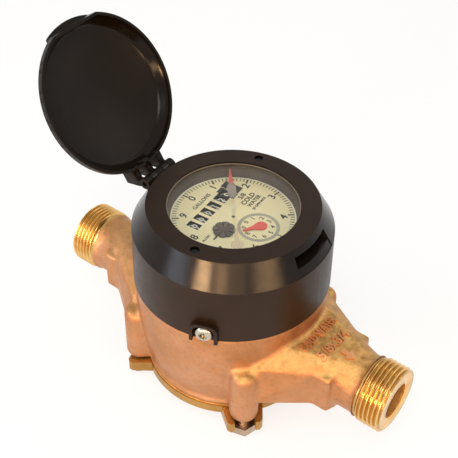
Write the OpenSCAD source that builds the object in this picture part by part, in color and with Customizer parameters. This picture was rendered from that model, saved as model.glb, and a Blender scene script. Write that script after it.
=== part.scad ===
// Cast bronze water meter with a nutating disc, a magnetic drive and a sealed register.
// Origin at the middle of the foot, +X along the flow to the outlet, +Z up, millimetres.

/* [Pipe ends] */
// overall laying length over both threaded ends
lay_length = 190.5; // [165:0.5:230]
// height of the pipe axis above the foot
axis_height = 38; // [36:0.5:44]
// crest radius of the end threads
thread_radius = 16.45; // [15.6:0.05:17]
// length of each end thread
thread_length = 14; // [11:0.5:16]
// chamfer at the mouth of each thread
thread_chamfer = 0.8; // [0.4:0.1:1.2]
// radius of the neck behind each thread
neck_radius = 14.9; // [13.5:0.1:15.4]
// radius of the waterway in each end
bore_radius = 8.85; // [7.5:0.05:10]
// half width of the wrench block over its upright flats
wrench_half = 18; // [17.2:0.1:19.5]
// length of the wrench block
wrench_length = 9.3; // [8:0.1:12]
// distance of the outer face of each wrench block from the bowl
wing_reach = 23; // [21:0.1:27]

/* [Case body] */
// outer radius of the bowl under the shroud
bowl_radius = 46.3; // [44:0.1:50]
// how much narrower the bowl is at its lower rim
foot_taper = 4.9; // [4.2:0.1:5.5]
// thickness of the bowl round the chamber cavity
bowl_wall = 9.3; // [8.8:0.1:10]
// height of the chamber above the lower rim of the case
chamber_lift = 8; // [7:0.25:9]
// height of the shelf under the shroud skirt above the chamber
shelf_rise = 13.5; // [13:0.25:15]
// thickness of the case roof between the two magnets
roof_wall = 5; // [4:0.25:6]
// gap between the shroud skirt and the spigot of the case
spigot_gap = 0.3; // [0.2:0.05:0.6]
// height of the spigot above the shelf
spigot_height = 11; // [8:0.5:14]
// height of the wing top above the pipe axis
wing_top = 16.4; // [15:0.1:18]
// how much narrower each wing is at its root than the bowl
wing_inset = 11.3; // [9.3:0.1:14]
// height above the pipe axis of the crease between flank and top at the wing root
wing_crease = 9; // [7.5:0.1:10.5]
// how far the flank leans in from its foot to the crease
wing_lean = 4; // [3:0.1:5]

/* [Bottom plate] */
// overhang of the bottom plate beyond the lower rim of the bowl
plate_lip = 1.7; // [1.3:0.1:2.4]
// thickness of the bottom plate at its ears
plate_thick = 6; // [5:0.25:6.75]
// thickness of the gasket on the bottom plate
gasket_thick = 0.5; // [0.4:0.05:1]
// distance of the flat foot from the edge of the bottom plate
foot_inset = 12.1; // [10:0.1:16]
// distance of the shallow groove from the edge of the flat foot
groove_inset = 6; // [5.5:0.1:9]
// distance of the bolt centres outside the bowl
bolt_step = 0.4; // [0:0.1:1]
// radius of the bolt shanks
bolt_radius = 3.2; // [2.9:0.05:3.4]
// clearance of the ear slots at each side of the bolts
slot_gap = 1.9; // [1.2:0.1:2.1]
// distance over the flats of the bolt heads
bolt_flats = 11.1; // [10.8:0.1:12]
// height of the bolt heads
bolt_head = 4.6; // [4:0.1:5.4]
// radius of the bolt bosses on the case
boss_radius = 7; // [6.6:0.1:7.6]
// height of the boss tops above the pipe axis
boss_rise = 7.2; // [5:0.1:8]
// radius of the rounded edge of the boss tops
boss_round = 4; // [3:0.1:5]
// half width of each ear at its outer end
ear_half = 8.6; // [8:0.1:9.2]
// half width of each ear at its root
ear_root = 10.5; // [9.6:0.1:11.4]
// length of each ear beyond its bolt
ear_length = 6.5; // [6:0.1:8]

/* [Measuring chamber] */
// gap between the measuring chamber and the cavity
chamber_gap = 3; // [2.4:0.1:3.5]
// distance of the ball centre below the pipe axis
ball_drop = 1; // [0.5:0.25:2]
// distance of the disc rim from the outside of the measuring chamber
chamber_wall = 6.5; // [6:0.1:7.5]
// thickness of the nutating disc
disc_thick = 2.4; // [2:0.1:2.8]
// lean of the disc spindle
disc_lean = 11; // [9:0.5:12]
// radius of the ball in the middle of the disc
ball_radius = 7; // [6.5:0.1:7.5]
// radius of the disc spindle
spindle_radius = 1.6; // [1.3:0.1:1.8]
// reach of the spindle above the ball centre
spindle_reach = 18; // [17:0.25:19]
// half height of the measuring chamber
chamber_half = 14.5; // [14:0.25:15]
// running clearance of the wetted pieces
wet_clearance = 0.4; // [0.3:0.05:0.6]
// radius of both drive magnets
magnet_radius = 9; // [7:0.25:11]
// thickness of both drive magnets
magnet_thick = 4; // [3:0.25:4.5]

/* [Shroud] */
// turn of the register about the upright axis
dial_turn = 5; // [0:0.5:10]
// turn of the shroud and lid about the upright axis
shroud_turn = 2.5; // [0:0.5:6]
// overhang of the shroud skirt beyond the bowl
skirt_step = 1.3; // [1:0.1:2]
// how much narrower the shroud is at the lower edge of the bevel
skirt_draft = 0.4; // [0.2:0.05:0.7]
// height of the bevel above the shelf
skirt_height = 30.5; // [28:0.25:32]
// height of the flat ring above the dial face
ring_rise = 8.9; // [8.4:0.1:9.6]
// width of the bevel seen from above
bevel_width = 6.8; // [6.2:0.1:7.4]
// width of the flat ring round the window
ring_width = 9.6; // [9:0.1:10.4]
// thickness of the ring over the glass
ring_thick = 1.2; // [1:0.1:1.6]
// wall of the shroud skirt
skirt_wall = 3; // [2.6:0.05:3.05]
// distance of the spanner holes from the outer edge of the flat ring
spanner_inset = 4.4; // [3.6:0.1:5]
// radius of the spanner holes
spanner_radius = 2.2; // [1.6:0.1:2.6]
// angle spanned by the finger notch
notch_angle = 33; // [26:1:38]
// height of the finger notch
notch_height = 5.2; // [4.6:0.1:6]
// direction of the seal screw round the case
screw_angle = -68; // [-72:1:-64]
// height of the seal screw above the shelf
screw_rise = 5.5; // [5.1:0.1:5.8]
// radius of the seal screw head
screw_head = 4.5; // [4.2:0.05:4.7]
// half width of the arch over the seal screw
arch_half = 6.6; // [6.4:0.1:7]
// wall of the arch over the seal screw
arch_wall = 1.6; // [1.3:0.1:1.7]
// reach of the arch beyond the skirt
arch_reach = 2.6; // [2:0.1:3.4]

/* [Lid] */
// distance of the lid rim from the outer edge of the flat ring
lid_inset = 2.6; // [2.2:0.1:3.6]
// height of the lid
lid_height = 6.6; // [6:0.1:8]
// wall of the lid rim and its top
lid_wall = 1.8; // [1.6:0.1:2.2]
// width of the sloped band inside the lid
lid_slope = 5.6; // [5:0.1:6.6]
// depth of the straight cut at the finger lip of the lid
lid_cut = 2.7; // [2.2:0.1:3.6]
// angle of the open lid away from the closed lid
lid_open = 122; // [95:1:124]
// distance of the hinge axis in from the edge of the bevel
hinge_inset = 3.4; // [3:0.1:3.8]
// distance of the hinge axis below the flat ring
hinge_drop = 3.1; // [2.8:0.1:3.4]
// radius of the hinge knuckles
knuckle_radius = 2.8; // [2.5:0.05:2.9]
// overall width of the hinge
hinge_width = 20.5; // [18:0.5:26]
// radius of the hinge pin
pin_radius = 1.25; // [1:0.05:1.4]
// running clearance round the hinge pin
pin_clearance = 0.05; // [0.02:0.01:0.1]
// gap between pieces that move past each other
move_gap = 0.35; // [0.3:0.05:0.5]

/* [Register] */
// distance of the register can from the outside of the skirt
can_inset = 10.6; // [10.2:0.1:11]
// wall of the register can
can_wall = 1.5; // [1.2:0.1:1.7]
// height of the dial face above the bridge of the movement
dial_rise = 11.3; // [11.2:0.1:12]
// step from the window edge in to the visible dial face
bezel_step = 1.6; // [1.2:0.1:2.2]
// thickness of the dial plate
dial_thick = 0.8; // [0.6:0.1:1]
// gap round the pieces that drop into the can and over the chamber
seat_gap = 0.05; // [0.02:0.01:0.1]
// thickness of the window glass
glass_thick = 1.6; // [1.4:0.1:2]
// radius of the number wheels
number_radius = 4.2; // [3.8:0.1:4.3]
// distance of the number wheel shaft from the middle
number_reach = 11.8; // [11.7:0.1:12.4]
// distance of the first number wheel from the middle
number_start = 14.9; // [14.6:0.1:15.4]
// spacing of the four number wheels with windows of their own
small_pitch = 5.6; // [5.4:0.1:5.8]
// spacing of the fourth and fifth number wheels
number_break = 5.7; // [5.5:0.1:6]
// spacing of the two number wheels that share a window
large_pitch = 4.7; // [4.4:0.1:4.9]
// width of a single number window
window_width = 3.8; // [3.2:0.1:4]
// height of the number windows
window_height = 6.4; // [5.6:0.1:6.8]
// tooth size of the gears
gear_module = 0.35; // [0.33:0.005:0.36]
// tooth count of the large wheels
wheel_teeth = 48; // [44:4:48]
// tooth count of the small pinions
pinion_teeth = 12; // [11:1:12]
// radius of the arbors
arbor_radius = 0.8; // [0.6:0.05:0.9]
// thickness of each gear
gear_thick = 1.2; // [1:0.1:1.4]
// running clearance of the arbors
arbor_clearance = 0.05; // [0.02:0.01:0.1]
// gap between the sweep hand and the edge of the window
hand_gap = 1.5; // [1:0.1:4]
// direction of the sweep hand on the dial
hand_angle = 126; // [0:1:359]
// distance of the small pointer dial from the middle
pointer_reach = 13.6; // [13.2:0.1:14.4]
// direction of the small pointer
pointer_angle = 231; // [0:1:359]

/* [Hidden] */
$fn = 64;
SKIRT_RADIUS = bowl_radius + skirt_step;
BEVEL_RADIUS = SKIRT_RADIUS - skirt_draft;
RING_RADIUS = BEVEL_RADIUS - bevel_width;
WINDOW_RADIUS = RING_RADIUS - ring_width;
DIAL_RADIUS = WINDOW_RADIUS - bezel_step;
HAND_REACH = WINDOW_RADIUS - hand_gap;
SPANNER_CIRCLE = RING_RADIUS - spanner_inset;
SPIGOT_RADIUS = SKIRT_RADIUS - skirt_wall - spigot_gap;
CAN_RADIUS = SKIRT_RADIUS - can_inset;
LID_RADIUS = RING_RADIUS - lid_inset;
LID_FLOOR = LID_RADIUS - lid_slope;
LID_CHORD = LID_RADIUS - lid_cut;
HINGE_REACH = BEVEL_RADIUS - hinge_inset;
CAVITY_RADIUS = bowl_radius - bowl_wall;
CHAMBER_RADIUS = CAVITY_RADIUS - chamber_gap;
DISC_RADIUS = CHAMBER_RADIUS - chamber_wall;
BOWL_FOOT = bowl_radius - foot_taper;
PLATE_RADIUS = BOWL_FOOT + plate_lip;
FOOT_RADIUS = PLATE_RADIUS - foot_inset;
FOOT_GROOVE = FOOT_RADIUS - groove_inset;
BOLT_CIRCLE = bowl_radius + bolt_step;
EAR_REACH = BOLT_CIRCLE + ear_length;
WING_HALF = bowl_radius - wing_inset;
WRENCH_END = bowl_radius + wing_reach;
BALL_HEIGHT = axis_height - ball_drop;
CHAMBER_BOTTOM = BALL_HEIGHT - chamber_half;
CHAMBER_TOP = BALL_HEIGHT + chamber_half;
CASE_BOTTOM = CHAMBER_BOTTOM - chamber_lift;
BOSS_HEIGHT = axis_height + boss_rise - boss_round;
SHELF_HEIGHT = CHAMBER_TOP + shelf_rise;
BEVEL_HEIGHT = SHELF_HEIGHT + skirt_height;
SCREW_HEIGHT = SHELF_HEIGHT + screw_rise;
END = lay_length / 2;
NECK_END = END - thread_length;
WRENCH_START = WRENCH_END - wrench_length;
PLATE_TOP = CASE_BOTTOM - gasket_thick;
PLATE_BOTTOM = PLATE_TOP - plate_thick;
EAR_BOTTOM = PLATE_BOTTOM - 0.3;
SLOT_HALF = bolt_radius + slot_gap;
ROOF_TOP = SHELF_HEIGHT + 5;
ROOF_BOTTOM = ROOF_TOP - roof_wall;
SPIGOT_TOP = SHELF_HEIGHT + spigot_height;
SKIRT_BOTTOM = SHELF_HEIGHT + 0.5;
SKIRT_INNER = SKIRT_RADIUS - skirt_wall;
DISC_SPHERE = DISC_RADIUS + wet_clearance;
SOCKET = ball_radius + wet_clearance;
CONE_GAP = disc_thick / 2 + wet_clearance;
SNOUT_RADIUS = bore_radius + 1.2;
SNOUT_END = sqrt(CAVITY_RADIUS * CAVITY_RADIUS - SNOUT_RADIUS * SNOUT_RADIUS) - 0.3;
SEAL_END = CAVITY_RADIUS + 7;
DRIVE_BASE = CHAMBER_TOP + 3.4;
DRIVE_MAGNET_Z = ROOF_BOTTOM - 1 - magnet_thick;
SPINDLE_TIP = [spindle_reach * sin(disc_lean), spindle_reach * cos(disc_lean)];
CAN_BOTTOM = ROOF_TOP + 1;
CAN_INNER = CAN_RADIUS - can_wall;
FOLLOWER_Z = CAN_BOTTOM + can_wall + 1.2;
LOW_PLATE = FOLLOWER_Z + magnet_thick + 2.2;
LEVEL_STEP = gear_thick + 0.6;
LEVEL_A = LOW_PLATE + 1.2 + 0.6;
LEVEL_B = LEVEL_A + LEVEL_STEP;
LEVEL_C = LEVEL_B + LEVEL_STEP;
MID_PLATE = LEVEL_C + LEVEL_STEP;
DIAL_HEIGHT = MID_PLATE + dial_rise;
DIAL_BOTTOM = DIAL_HEIGHT - dial_thick;
RING_HEIGHT = DIAL_HEIGHT + ring_rise;
HINGE_HEIGHT = RING_HEIGHT - hinge_drop;
CAN_TOP = RING_HEIGHT - ring_thick;
GLASS_Z = CAN_TOP - glass_thick;
LEVEL_D = MID_PLATE + 1.2 + 0.6;
LEVEL_E = LEVEL_D + LEVEL_STEP;
TRAIN = gear_module * (wheel_teeth + pinion_teeth) / 2;
IDLER_WHEEL = 40;
IDLER_PINION = 10;
CENTRE_PINION = 16;
REACH_3 = gear_module * (IDLER_WHEEL + IDLER_PINION) / 2;
REACH_4 = gear_module * (IDLER_WHEEL + CENTRE_PINION) / 2;
A3 = [pointer_reach, 0];
A1_ANGLE = -81.5;
A1 = [TRAIN * cos(A1_ANGLE), TRAIN * sin(A1_ANGLE)];
MID_13 = (A1 + A3) / 2;
HALF_13 = norm(A3 - A1) / 2;
DIR_13 = (A3 - A1) / (2 * HALF_13);
A2 = MID_13 + sqrt(TRAIN * TRAIN - HALF_13 * HALF_13) * [DIR_13[1], -DIR_13[0]];
A4_X = (REACH_4 * REACH_4 - REACH_3 * REACH_3 + pointer_reach * pointer_reach) / (2 * pointer_reach);
A4 = [A4_X, sqrt(REACH_4 * REACH_4 - A4_X * A4_X)];
PILLARS = [60, 165, 285];
PILLAR_REACH = CAN_INNER - 8.5;
NUMBER_Z = DIAL_BOTTOM - 0.4 - number_radius;
NUMBER_POS = [for (i = [0:5])
    min(i, 3) * small_pitch - number_start + (i > 3 ? number_break + (i - 4) * large_pitch : 0)];
WHEEL_WIDTH = large_pitch - 0.8;
POST_WIDTH = 1.4;
POSTS = [NUMBER_POS[0] - WHEEL_WIDTH / 2 - 3.8, NUMBER_POS[5] + WHEEL_WIDTH / 2 + 2.4];
SHAFT_START = POSTS[0] - 0.4;
SHAFT_LENGTH = POSTS[1] + POST_WIDTH + 0.4 - SHAFT_START;
HAND_Z = GLASS_Z - 1.1;
POINTER_Z = DIAL_HEIGHT + 0.4;
LID_SEAT = RING_HEIGHT + move_gap - HINGE_HEIGHT;
LID_TOP = LID_SEAT + lid_height;
ARM = (hinge_width - 4 * move_gap) / 5;
PIN_BORE = pin_radius + pin_clearance;
ARBOR_BORE = arbor_radius + arbor_clearance;
BOLT_ANGLES = [45, 135, 225, 315];

// node drawn alone, or all of them

// tube standing on the plane at height z
module tube(outer, inner, z, h) {
    translate([0, 0, z])
        difference() {
            cylinder(r = outer, h = h);
            translate([0, 0, -1])
                cylinder(r = inner, h = h + 2);
        }
}

// cylinder along +X from station x
module bar_x(radius, x, length) {
    translate([x, 0, 0])
        rotate([0, 90, 0])
            cylinder(r = radius, h = length);
}

// outline of a spur gear with straight flanked teeth
module gear_outline(teeth) {
    pitch = gear_module * teeth / 2;
    tip = pitch + 0.9 * gear_module;
    root = pitch - 1.15 * gear_module;
    step = 360 / teeth;
    polygon([for (i = [0:teeth - 1], k = [[-0.31, 0], [-0.13, 1], [0.13, 1], [0.31, 0]])
        (k[1] == 1 ? tip : root) * [cos((i + k[0]) * step), sin((i + k[0]) * step)]]);
}

// turn that puts a gear of n2 teeth in mesh with a gear of n1 teeth turned by t1
function mesh(from, to, n1, t1, n2) =
    let (a = atan2(to[1] - from[1], to[0] - from[0]))
    a + 180 - (0.5 - (a - t1) * n1 / 360) * 360 / n2;

// gear of one tooth count at height z on an arbor at place p
module gear_at(p, teeth, z, phase) {
    translate([p[0], p[1], z])
        rotate([0, 0, phase])
            linear_extrude(height = gear_thick)
                gear_outline(teeth);
}

// plain arbor at place p
module arbor(p, z0, z1) {
    translate([p[0], p[1], z0])
        cylinder(r = arbor_radius, h = z1 - z0, $fn = 32);
}

// turn of the register above the case
module turned() {
    rotate([0, 0, dial_turn])
        children();
}

// turn of the shroud and lid above the case
module shroud_turned() {
    rotate([0, 0, shroud_turn])
        children();
}

// section of the wing at its outer end, just inside the wrench block
module wing_outer_section() {
    polygon([
        [wrench_half - 0.2, -10.2], [wrench_half - 0.2, 10.2], [wrench_half - 3.4, 13.7], [9, wing_top],
        [-9, wing_top], [3.4 - wrench_half, 13.7], [0.2 - wrench_half, 10.2], [0.2 - wrench_half, -10.2],
        [-8.8, -15.8], [8.8, -15.8]
    ]);
}

// section of the wing between the bolt bosses
module wing_inner_section() {
    polygon([
        [WING_HALF, -11], [WING_HALF - wing_lean, wing_crease], [WING_HALF - 16, wing_top],
        [16 - WING_HALF, wing_top], [wing_lean - WING_HALF, wing_crease], [-WING_HALF, -11],
        [15 - WING_HALF, -16], [WING_HALF - 15, -16]
    ]);
}

// section of the wrench block with its upright flats
module wrench_section() {
    polygon([
        [wrench_half, -10.4], [wrench_half, 10.4], [wrench_half - 4, 11.6], [4 - wrench_half, 11.6],
        [-wrench_half, 10.4], [-wrench_half, -10.4], [-9, -16], [9, -16]
    ]);
}

// crown of the wing where it runs down to the neck
module crown_section() {
    polygon([
        [wrench_half - 3.6, 13.5], [8.9, wing_top - 0.1], [-8.9, wing_top - 0.1], [3.6 - wrench_half, 13.5]
    ]);
}

// flat section drawn across the pipe, standing at place x along it
module across(x, length) {
    translate([x, 0, 0])
        rotate([90, 0, 90])
            linear_extrude(height = length)
                children();
}

// one delta wing toward +X with its wrench block
module wing() {
    hull() {
        across(bowl_radius - 17, 9.2)
            wing_inner_section();
        across(WRENCH_START - 0.5, 2)
            wing_outer_section();
    }
    across(WRENCH_START - 0.5, wrench_length + 0.5)
        wrench_section();
    hull() {
        across(WRENCH_START, 1.4)
            crown_section();
        across(NECK_END - 3.5, 0.5)
            circle(r = neck_radius - 0.3);
    }
}

// neck and thread of one pipe end toward +X
module pipe_end() {
    rotate([0, 90, 0])
        rotate_extrude($fn = 96)
            polygon([
                [0, WRENCH_END - 1], [neck_radius, WRENCH_END - 1],
                [neck_radius, NECK_END - 1.6], [thread_radius, NECK_END],
                [thread_radius, END - thread_chamfer], [thread_radius - thread_chamfer, END], [0, END]
            ]);
}

// bowl of the case with its shelf and spigot
module bowl() {
    rotate_extrude($fn = 128)
        polygon([
            [0, CASE_BOTTOM], [BOWL_FOOT + 1.2, CASE_BOTTOM],
            [BOWL_FOOT + 1.2, CASE_BOTTOM + 2], [BOWL_FOOT, CASE_BOTTOM + 2.8],
            [BOWL_FOOT + 1.1, axis_height - 16], [bowl_radius - 1.7, axis_height - 7],
            [bowl_radius - 0.5, axis_height + 4], [bowl_radius, axis_height + 14],
            [bowl_radius, SHELF_HEIGHT - 0.8], [bowl_radius - 0.8, SHELF_HEIGHT],
            [SPIGOT_RADIUS, SHELF_HEIGHT], [SPIGOT_RADIUS, SPIGOT_TOP], [CAN_RADIUS + 3.2, SPIGOT_TOP],
            [CAN_RADIUS + 3.2, ROOF_TOP], [0, ROOF_TOP]
        ]);
}

// one bolt boss with its rounded top
module bolt_boss() {
    height = BOSS_HEIGHT - CASE_BOTTOM;
    rotate_extrude()
        polygon(concat(
            [[0, 0], [boss_radius, 0]],
            [for (a = [0:15:90]) [boss_radius - boss_round * (1 - cos(a)), height + boss_round * sin(a)]],
            [[0, height + boss_round]]
        ));
    translate([-9, -boss_radius, 0])
        cube([9, 2 * boss_radius, height]);
}

// cast bronze case with wings, bolt bosses and waterways
module main_case() {
    color([0.80, 0.58, 0.40])
        difference() {
            union() {
                bowl();
                for (side = [0, 180])
                    rotate([0, 0, side])
                        translate([0, 0, axis_height]) {
                            wing();
                            pipe_end();
                        }
                for (a = BOLT_ANGLES)
                    rotate([0, 0, a])
                        translate([BOLT_CIRCLE, 0, CASE_BOTTOM])
                            bolt_boss();
            }
            translate([0, 0, CASE_BOTTOM - 1])
                cylinder(r = CAVITY_RADIUS, h = CHAMBER_TOP + 2 - CASE_BOTTOM, $fn = 96);
            translate([0, 0, CHAMBER_TOP])
                cylinder(r = CAVITY_RADIUS - 8, h = ROOF_BOTTOM - CHAMBER_TOP, $fn = 96);
            translate([0, 0, axis_height]) {
                bar_x(bore_radius, -END - 1, END);
                bar_x(bore_radius, 1, END);
                bar_x(SNOUT_RADIUS, 1, SEAL_END - 1);
            }
            for (a = BOLT_ANGLES)
                rotate([0, 0, a])
                    translate([BOLT_CIRCLE, 0, CASE_BOTTOM - 1])
                        cylinder(r = bolt_radius + 0.05, h = BOSS_HEIGHT - CASE_BOTTOM - 1);
            rotate([0, 0, screw_angle])
                translate([0, 0, SCREW_HEIGHT])
                    bar_x(2.05, CAN_RADIUS + 1, 12);
        }
}

// outline of one ear of the bottom plate, toward +X
module ear_outline() {
    polygon([
        [PLATE_RADIUS - 7, -ear_root], [PLATE_RADIUS - 4, -ear_root], [EAR_REACH - 1.6, -ear_half],
        [EAR_REACH, -ear_half + 1.6], [EAR_REACH, ear_half - 1.6], [EAR_REACH - 1.6, ear_half],
        [PLATE_RADIUS - 4, ear_root], [PLATE_RADIUS - 7, ear_root]
    ]);
}

// bottom plate with four slotted ears and a flat foot
module bottom_plate() {
    color([0.78, 0.58, 0.25])
        difference() {
            union() {
                rotate_extrude($fn = 128)
                    polygon([
                        [0, 0], [FOOT_RADIUS - 1, 0], [FOOT_RADIUS, 1], [FOOT_RADIUS + 2.5, PLATE_BOTTOM],
                        [PLATE_RADIUS - 1.4, PLATE_BOTTOM], [PLATE_RADIUS, PLATE_BOTTOM + 1.4],
                        [PLATE_RADIUS, PLATE_TOP], [0, PLATE_TOP]
                    ]);
                for (a = BOLT_ANGLES)
                    rotate([0, 0, a])
                        translate([0, 0, EAR_BOTTOM])
                            linear_extrude(height = plate_thick + 0.1)
                                ear_outline();
                tube(CAVITY_RADIUS - wet_clearance, CAVITY_RADIUS - 3, PLATE_TOP - 2, 4);
            }
            tube(FOOT_GROOVE, FOOT_GROOVE - 4, -1, 2.2);
            for (a = BOLT_ANGLES)
                rotate([0, 0, a])
                    translate([BOLT_CIRCLE, 0, PLATE_BOTTOM - 1]) {
                        cylinder(r = SLOT_HALF + 0.15, h = plate_thick + 2);
                        translate([1, -SLOT_HALF, 0])
                            cube([EAR_REACH, 2 * SLOT_HALF, plate_thick + 2]);
                    }
        }
}

// flat gasket between the case and the bottom plate
module plate_gasket() {
    color([0.13, 0.13, 0.13])
        tube(BOWL_FOOT + 1, CAVITY_RADIUS + 0.3, PLATE_TOP, gasket_thick);
}

// four hexagon bolts of the bottom plate
module plate_bolts() {
    color([0.80, 0.74, 0.70])
        for (a = BOLT_ANGLES)
            rotate([0, 0, a])
                translate([BOLT_CIRCLE, 0, EAR_BOTTOM]) {
                    translate([0, 0, -bolt_head])
                        cylinder(r = bolt_flats / sqrt(3), h = bolt_head, $fn = 6);
                    translate([0, 0, -0.5])
                        cylinder(r = bolt_radius, h = BOSS_HEIGHT - PLATE_BOTTOM - 4);
                }
}

// hollow of the measuring chamber, a ball zone between two cones
module chamber_hollow() {
    translate([0, 0, BALL_HEIGHT])
        rotate_extrude($fn = 96)
            polygon(concat(
                [[0, -SOCKET]],
                [for (a = [-75:15:-30]) SOCKET * [cos(a), sin(a)]],
                [[SOCKET * cos(disc_lean), -SOCKET * sin(disc_lean) - CONE_GAP]],
                [for (a = [-1:0.25:1]) DISC_SPHERE * [cos(a * (disc_lean + 3)), sin(a * (disc_lean + 3))]],
                [[SOCKET * cos(disc_lean), SOCKET * sin(disc_lean) + CONE_GAP]],
                [for (a = [30:15:75]) SOCKET * [cos(a), sin(a)]],
                [[0, SOCKET]]
            ));
}

// waterways through the chamber wall
module chamber_ports() {
    translate([0, 0, axis_height]) {
        bar_x(6, -CHAMBER_RADIUS - 2, 12);
        bar_x(6, CHAMBER_RADIUS - 10, 14);
    }
}

// outlet snout of the chamber above or below its parting plane
module snout(low, high) {
    intersection() {
        translate([0, 0, axis_height])
            bar_x(SNOUT_RADIUS, CHAMBER_RADIUS - 6, SNOUT_END - CHAMBER_RADIUS + 6);
        translate([0, -SNOUT_RADIUS - 1, low])
            cube([2 * CHAMBER_RADIUS, 2 * SNOUT_RADIUS + 2, high - low]);
    }
}

// lower half of the measuring chamber
module chamber_base() {
    color([0.86, 0.84, 0.78])
        difference() {
            union() {
                translate([0, 0, CHAMBER_BOTTOM])
                    cylinder(r = CHAMBER_RADIUS, h = chamber_half, $fn = 96);
                translate([0, 0, PLATE_TOP])
                    cylinder(r = 14, h = CHAMBER_BOTTOM - PLATE_TOP + 1);
                snout(CHAMBER_BOTTOM, BALL_HEIGHT);
            }
            chamber_hollow();
            chamber_ports();
            rotate([0, 0, 90])
                translate([SOCKET - 1, -0.9, BALL_HEIGHT - 10])
                    cube([DISC_SPHERE - SOCKET + 2.5, 1.8, 20]);
        }
}

// upper half of the measuring chamber with the driver bearing
module chamber_top() {
    color([0.86, 0.84, 0.78])
        difference() {
            union() {
                translate([0, 0, BALL_HEIGHT])
                    cylinder(r = CHAMBER_RADIUS, h = chamber_half, $fn = 96);
                tube(CAVITY_RADIUS - wet_clearance, CHAMBER_RADIUS - 2, CHAMBER_TOP - 2, 2);
                snout(BALL_HEIGHT, CHAMBER_TOP);
                translate([0, 0, CHAMBER_TOP - 0.5])
                    tube(12, 9.5, 0, 7);
                translate([-10, -3, DRIVE_BASE + 2.2])
                    cube([20, 6, 1.6]);
            }
            chamber_hollow();
            chamber_ports();
            rotate([0, 0, 90])
                translate([SOCKET - 1, -0.9, BALL_HEIGHT - 10])
                    cube([DISC_SPHERE - SOCKET + 2.5, 1.8, 20]);
            translate([0, 0, BALL_HEIGHT + 3])
                cylinder(r1 = 3.2, r2 = 6.6, h = chamber_half - 2.9);
            translate([0, 0, DRIVE_BASE])
                cylinder(r = 1.5 + arbor_clearance, h = 8);
        }
}

// upright plate between the inlet and outlet sides of the chamber
module partition_plate() {
    color([0.72, 0.72, 0.74])
        rotate([0, 0, 90])
            translate([SOCKET + 0.2, -0.8, BALL_HEIGHT - 9.5])
                cube([DISC_SPHERE - SOCKET + 1, 1.6, 19]);
}

// perforated screen on the inlet side of the chamber
module strainer() {
    color([0.75, 0.76, 0.78])
        difference() {
            rotate([0, 0, 125])
                rotate_extrude(angle = 110, $fn = 96)
                    translate([CHAMBER_RADIUS + seat_gap, CHAMBER_BOTTOM])
                        square([0.9, 2 * chamber_half - 2]);
            for (i = [-4:4], k = [-1:1])
                rotate([0, 0, 180 + 10.5 * i])
                    translate([0, 0, BALL_HEIGHT + 6 * k])
                        bar_x(1.7, CHAMBER_RADIUS - 2, 6);
        }
}

// rubber sleeve between the chamber outlet and the case
module outlet_seal() {
    color([0.10, 0.10, 0.10])
        translate([0, 0, axis_height])
            rotate([0, 90, 0])
                tube(SNOUT_RADIUS, bore_radius + 0.3, SNOUT_END, SEAL_END - SNOUT_END);
}

// nutating disc with its ball and spindle, leaning toward +X
module nutating_disc() {
    color([0.16, 0.16, 0.17])
        translate([0, 0, BALL_HEIGHT])
            rotate([0, disc_lean, 0])
                difference() {
                    union() {
                        translate([0, 0, -disc_thick / 2])
                            cylinder(r = DISC_RADIUS, h = disc_thick, $fn = 96);
                        sphere(r = ball_radius);
                        cylinder(r = spindle_radius, h = spindle_reach, $fn = 32);
                    }
                    translate([-1.4, ball_radius, -disc_thick])
                        cube([2.8, DISC_RADIUS, 2 * disc_thick]);
                }
}

// driver arm pushed round by the disc spindle
module disc_driver() {
    color([0.90, 0.89, 0.85])
        union() {
            translate([0, 0, DRIVE_BASE - 0.4])
                difference() {
                    cylinder(r = SPINDLE_TIP[0] + 4, h = 2, $fn = 48);
                    translate([SPINDLE_TIP[0], 0, -1])
                        cylinder(r = spindle_radius + wet_clearance, h = 2.2, $fn = 32);
                }
            translate([0, 0, DRIVE_BASE + 1])
                cylinder(r = 1.5, h = DRIVE_MAGNET_Z + 2 - DRIVE_BASE, $fn = 32);
        }
}

// ring magnet on the driver shaft
module drive_magnet() {
    color([0.25, 0.25, 0.27])
        tube(magnet_radius, 1.5, DRIVE_MAGNET_Z, magnet_thick);
}

// sealed can of the register
module register_can() {
    color([0.72, 0.62, 0.42])
        difference() {
            union() {
                translate([0, 0, CAN_BOTTOM])
                    cylinder(r = CAN_RADIUS, h = CAN_TOP - CAN_BOTTOM, $fn = 128);
                translate([0, 0, ROOF_TOP])
                    cylinder(r = CAN_RADIUS - 4, h = CAN_BOTTOM - ROOF_TOP + 0.5, $fn = 96);
            }
            translate([0, 0, CAN_BOTTOM + can_wall])
                cylinder(r = CAN_INNER - 1.5, h = CAN_TOP, $fn = 128);
            translate([0, 0, DIAL_BOTTOM])
                cylinder(r = CAN_INNER, h = CAN_TOP, $fn = 128);
        }
}

// magnet of the register that follows the drive magnet, with its pinion
module follower_magnet() {
    color([0.30, 0.29, 0.30])
        turned()
            union() {
                translate([0, 0, FOLLOWER_Z])
                    cylinder(r = magnet_radius, h = magnet_thick);
                arbor([0, 0], FOLLOWER_Z - 0.8, MID_PLATE + 0.3);
                gear_at([0, 0], pinion_teeth, LEVEL_A, 0);
            }
}

// base plate of the movement with its three pillars
module movement_base() {
    color([0.80, 0.72, 0.50])
        turned()
            difference() {
                union() {
                    translate([0, 0, LOW_PLATE])
                        cylinder(r = CAN_INNER - 1.6, h = 1.2, $fn = 96);
                    for (a = PILLARS)
                        rotate([0, 0, a])
                            translate([PILLAR_REACH, 0, CAN_BOTTOM + can_wall]) {
                                cylinder(r = 2.6, h = MID_PLATE - CAN_BOTTOM - can_wall);
                                cylinder(r = 2, h = DIAL_BOTTOM - CAN_BOTTOM - can_wall);
                            }
                }
                for (p = [[0, 0], A1, A2, A3])
                    translate([p[0], p[1], LOW_PLATE - 1])
                        cylinder(r = ARBOR_BORE, h = 4, $fn = 32);
            }
}

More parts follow.
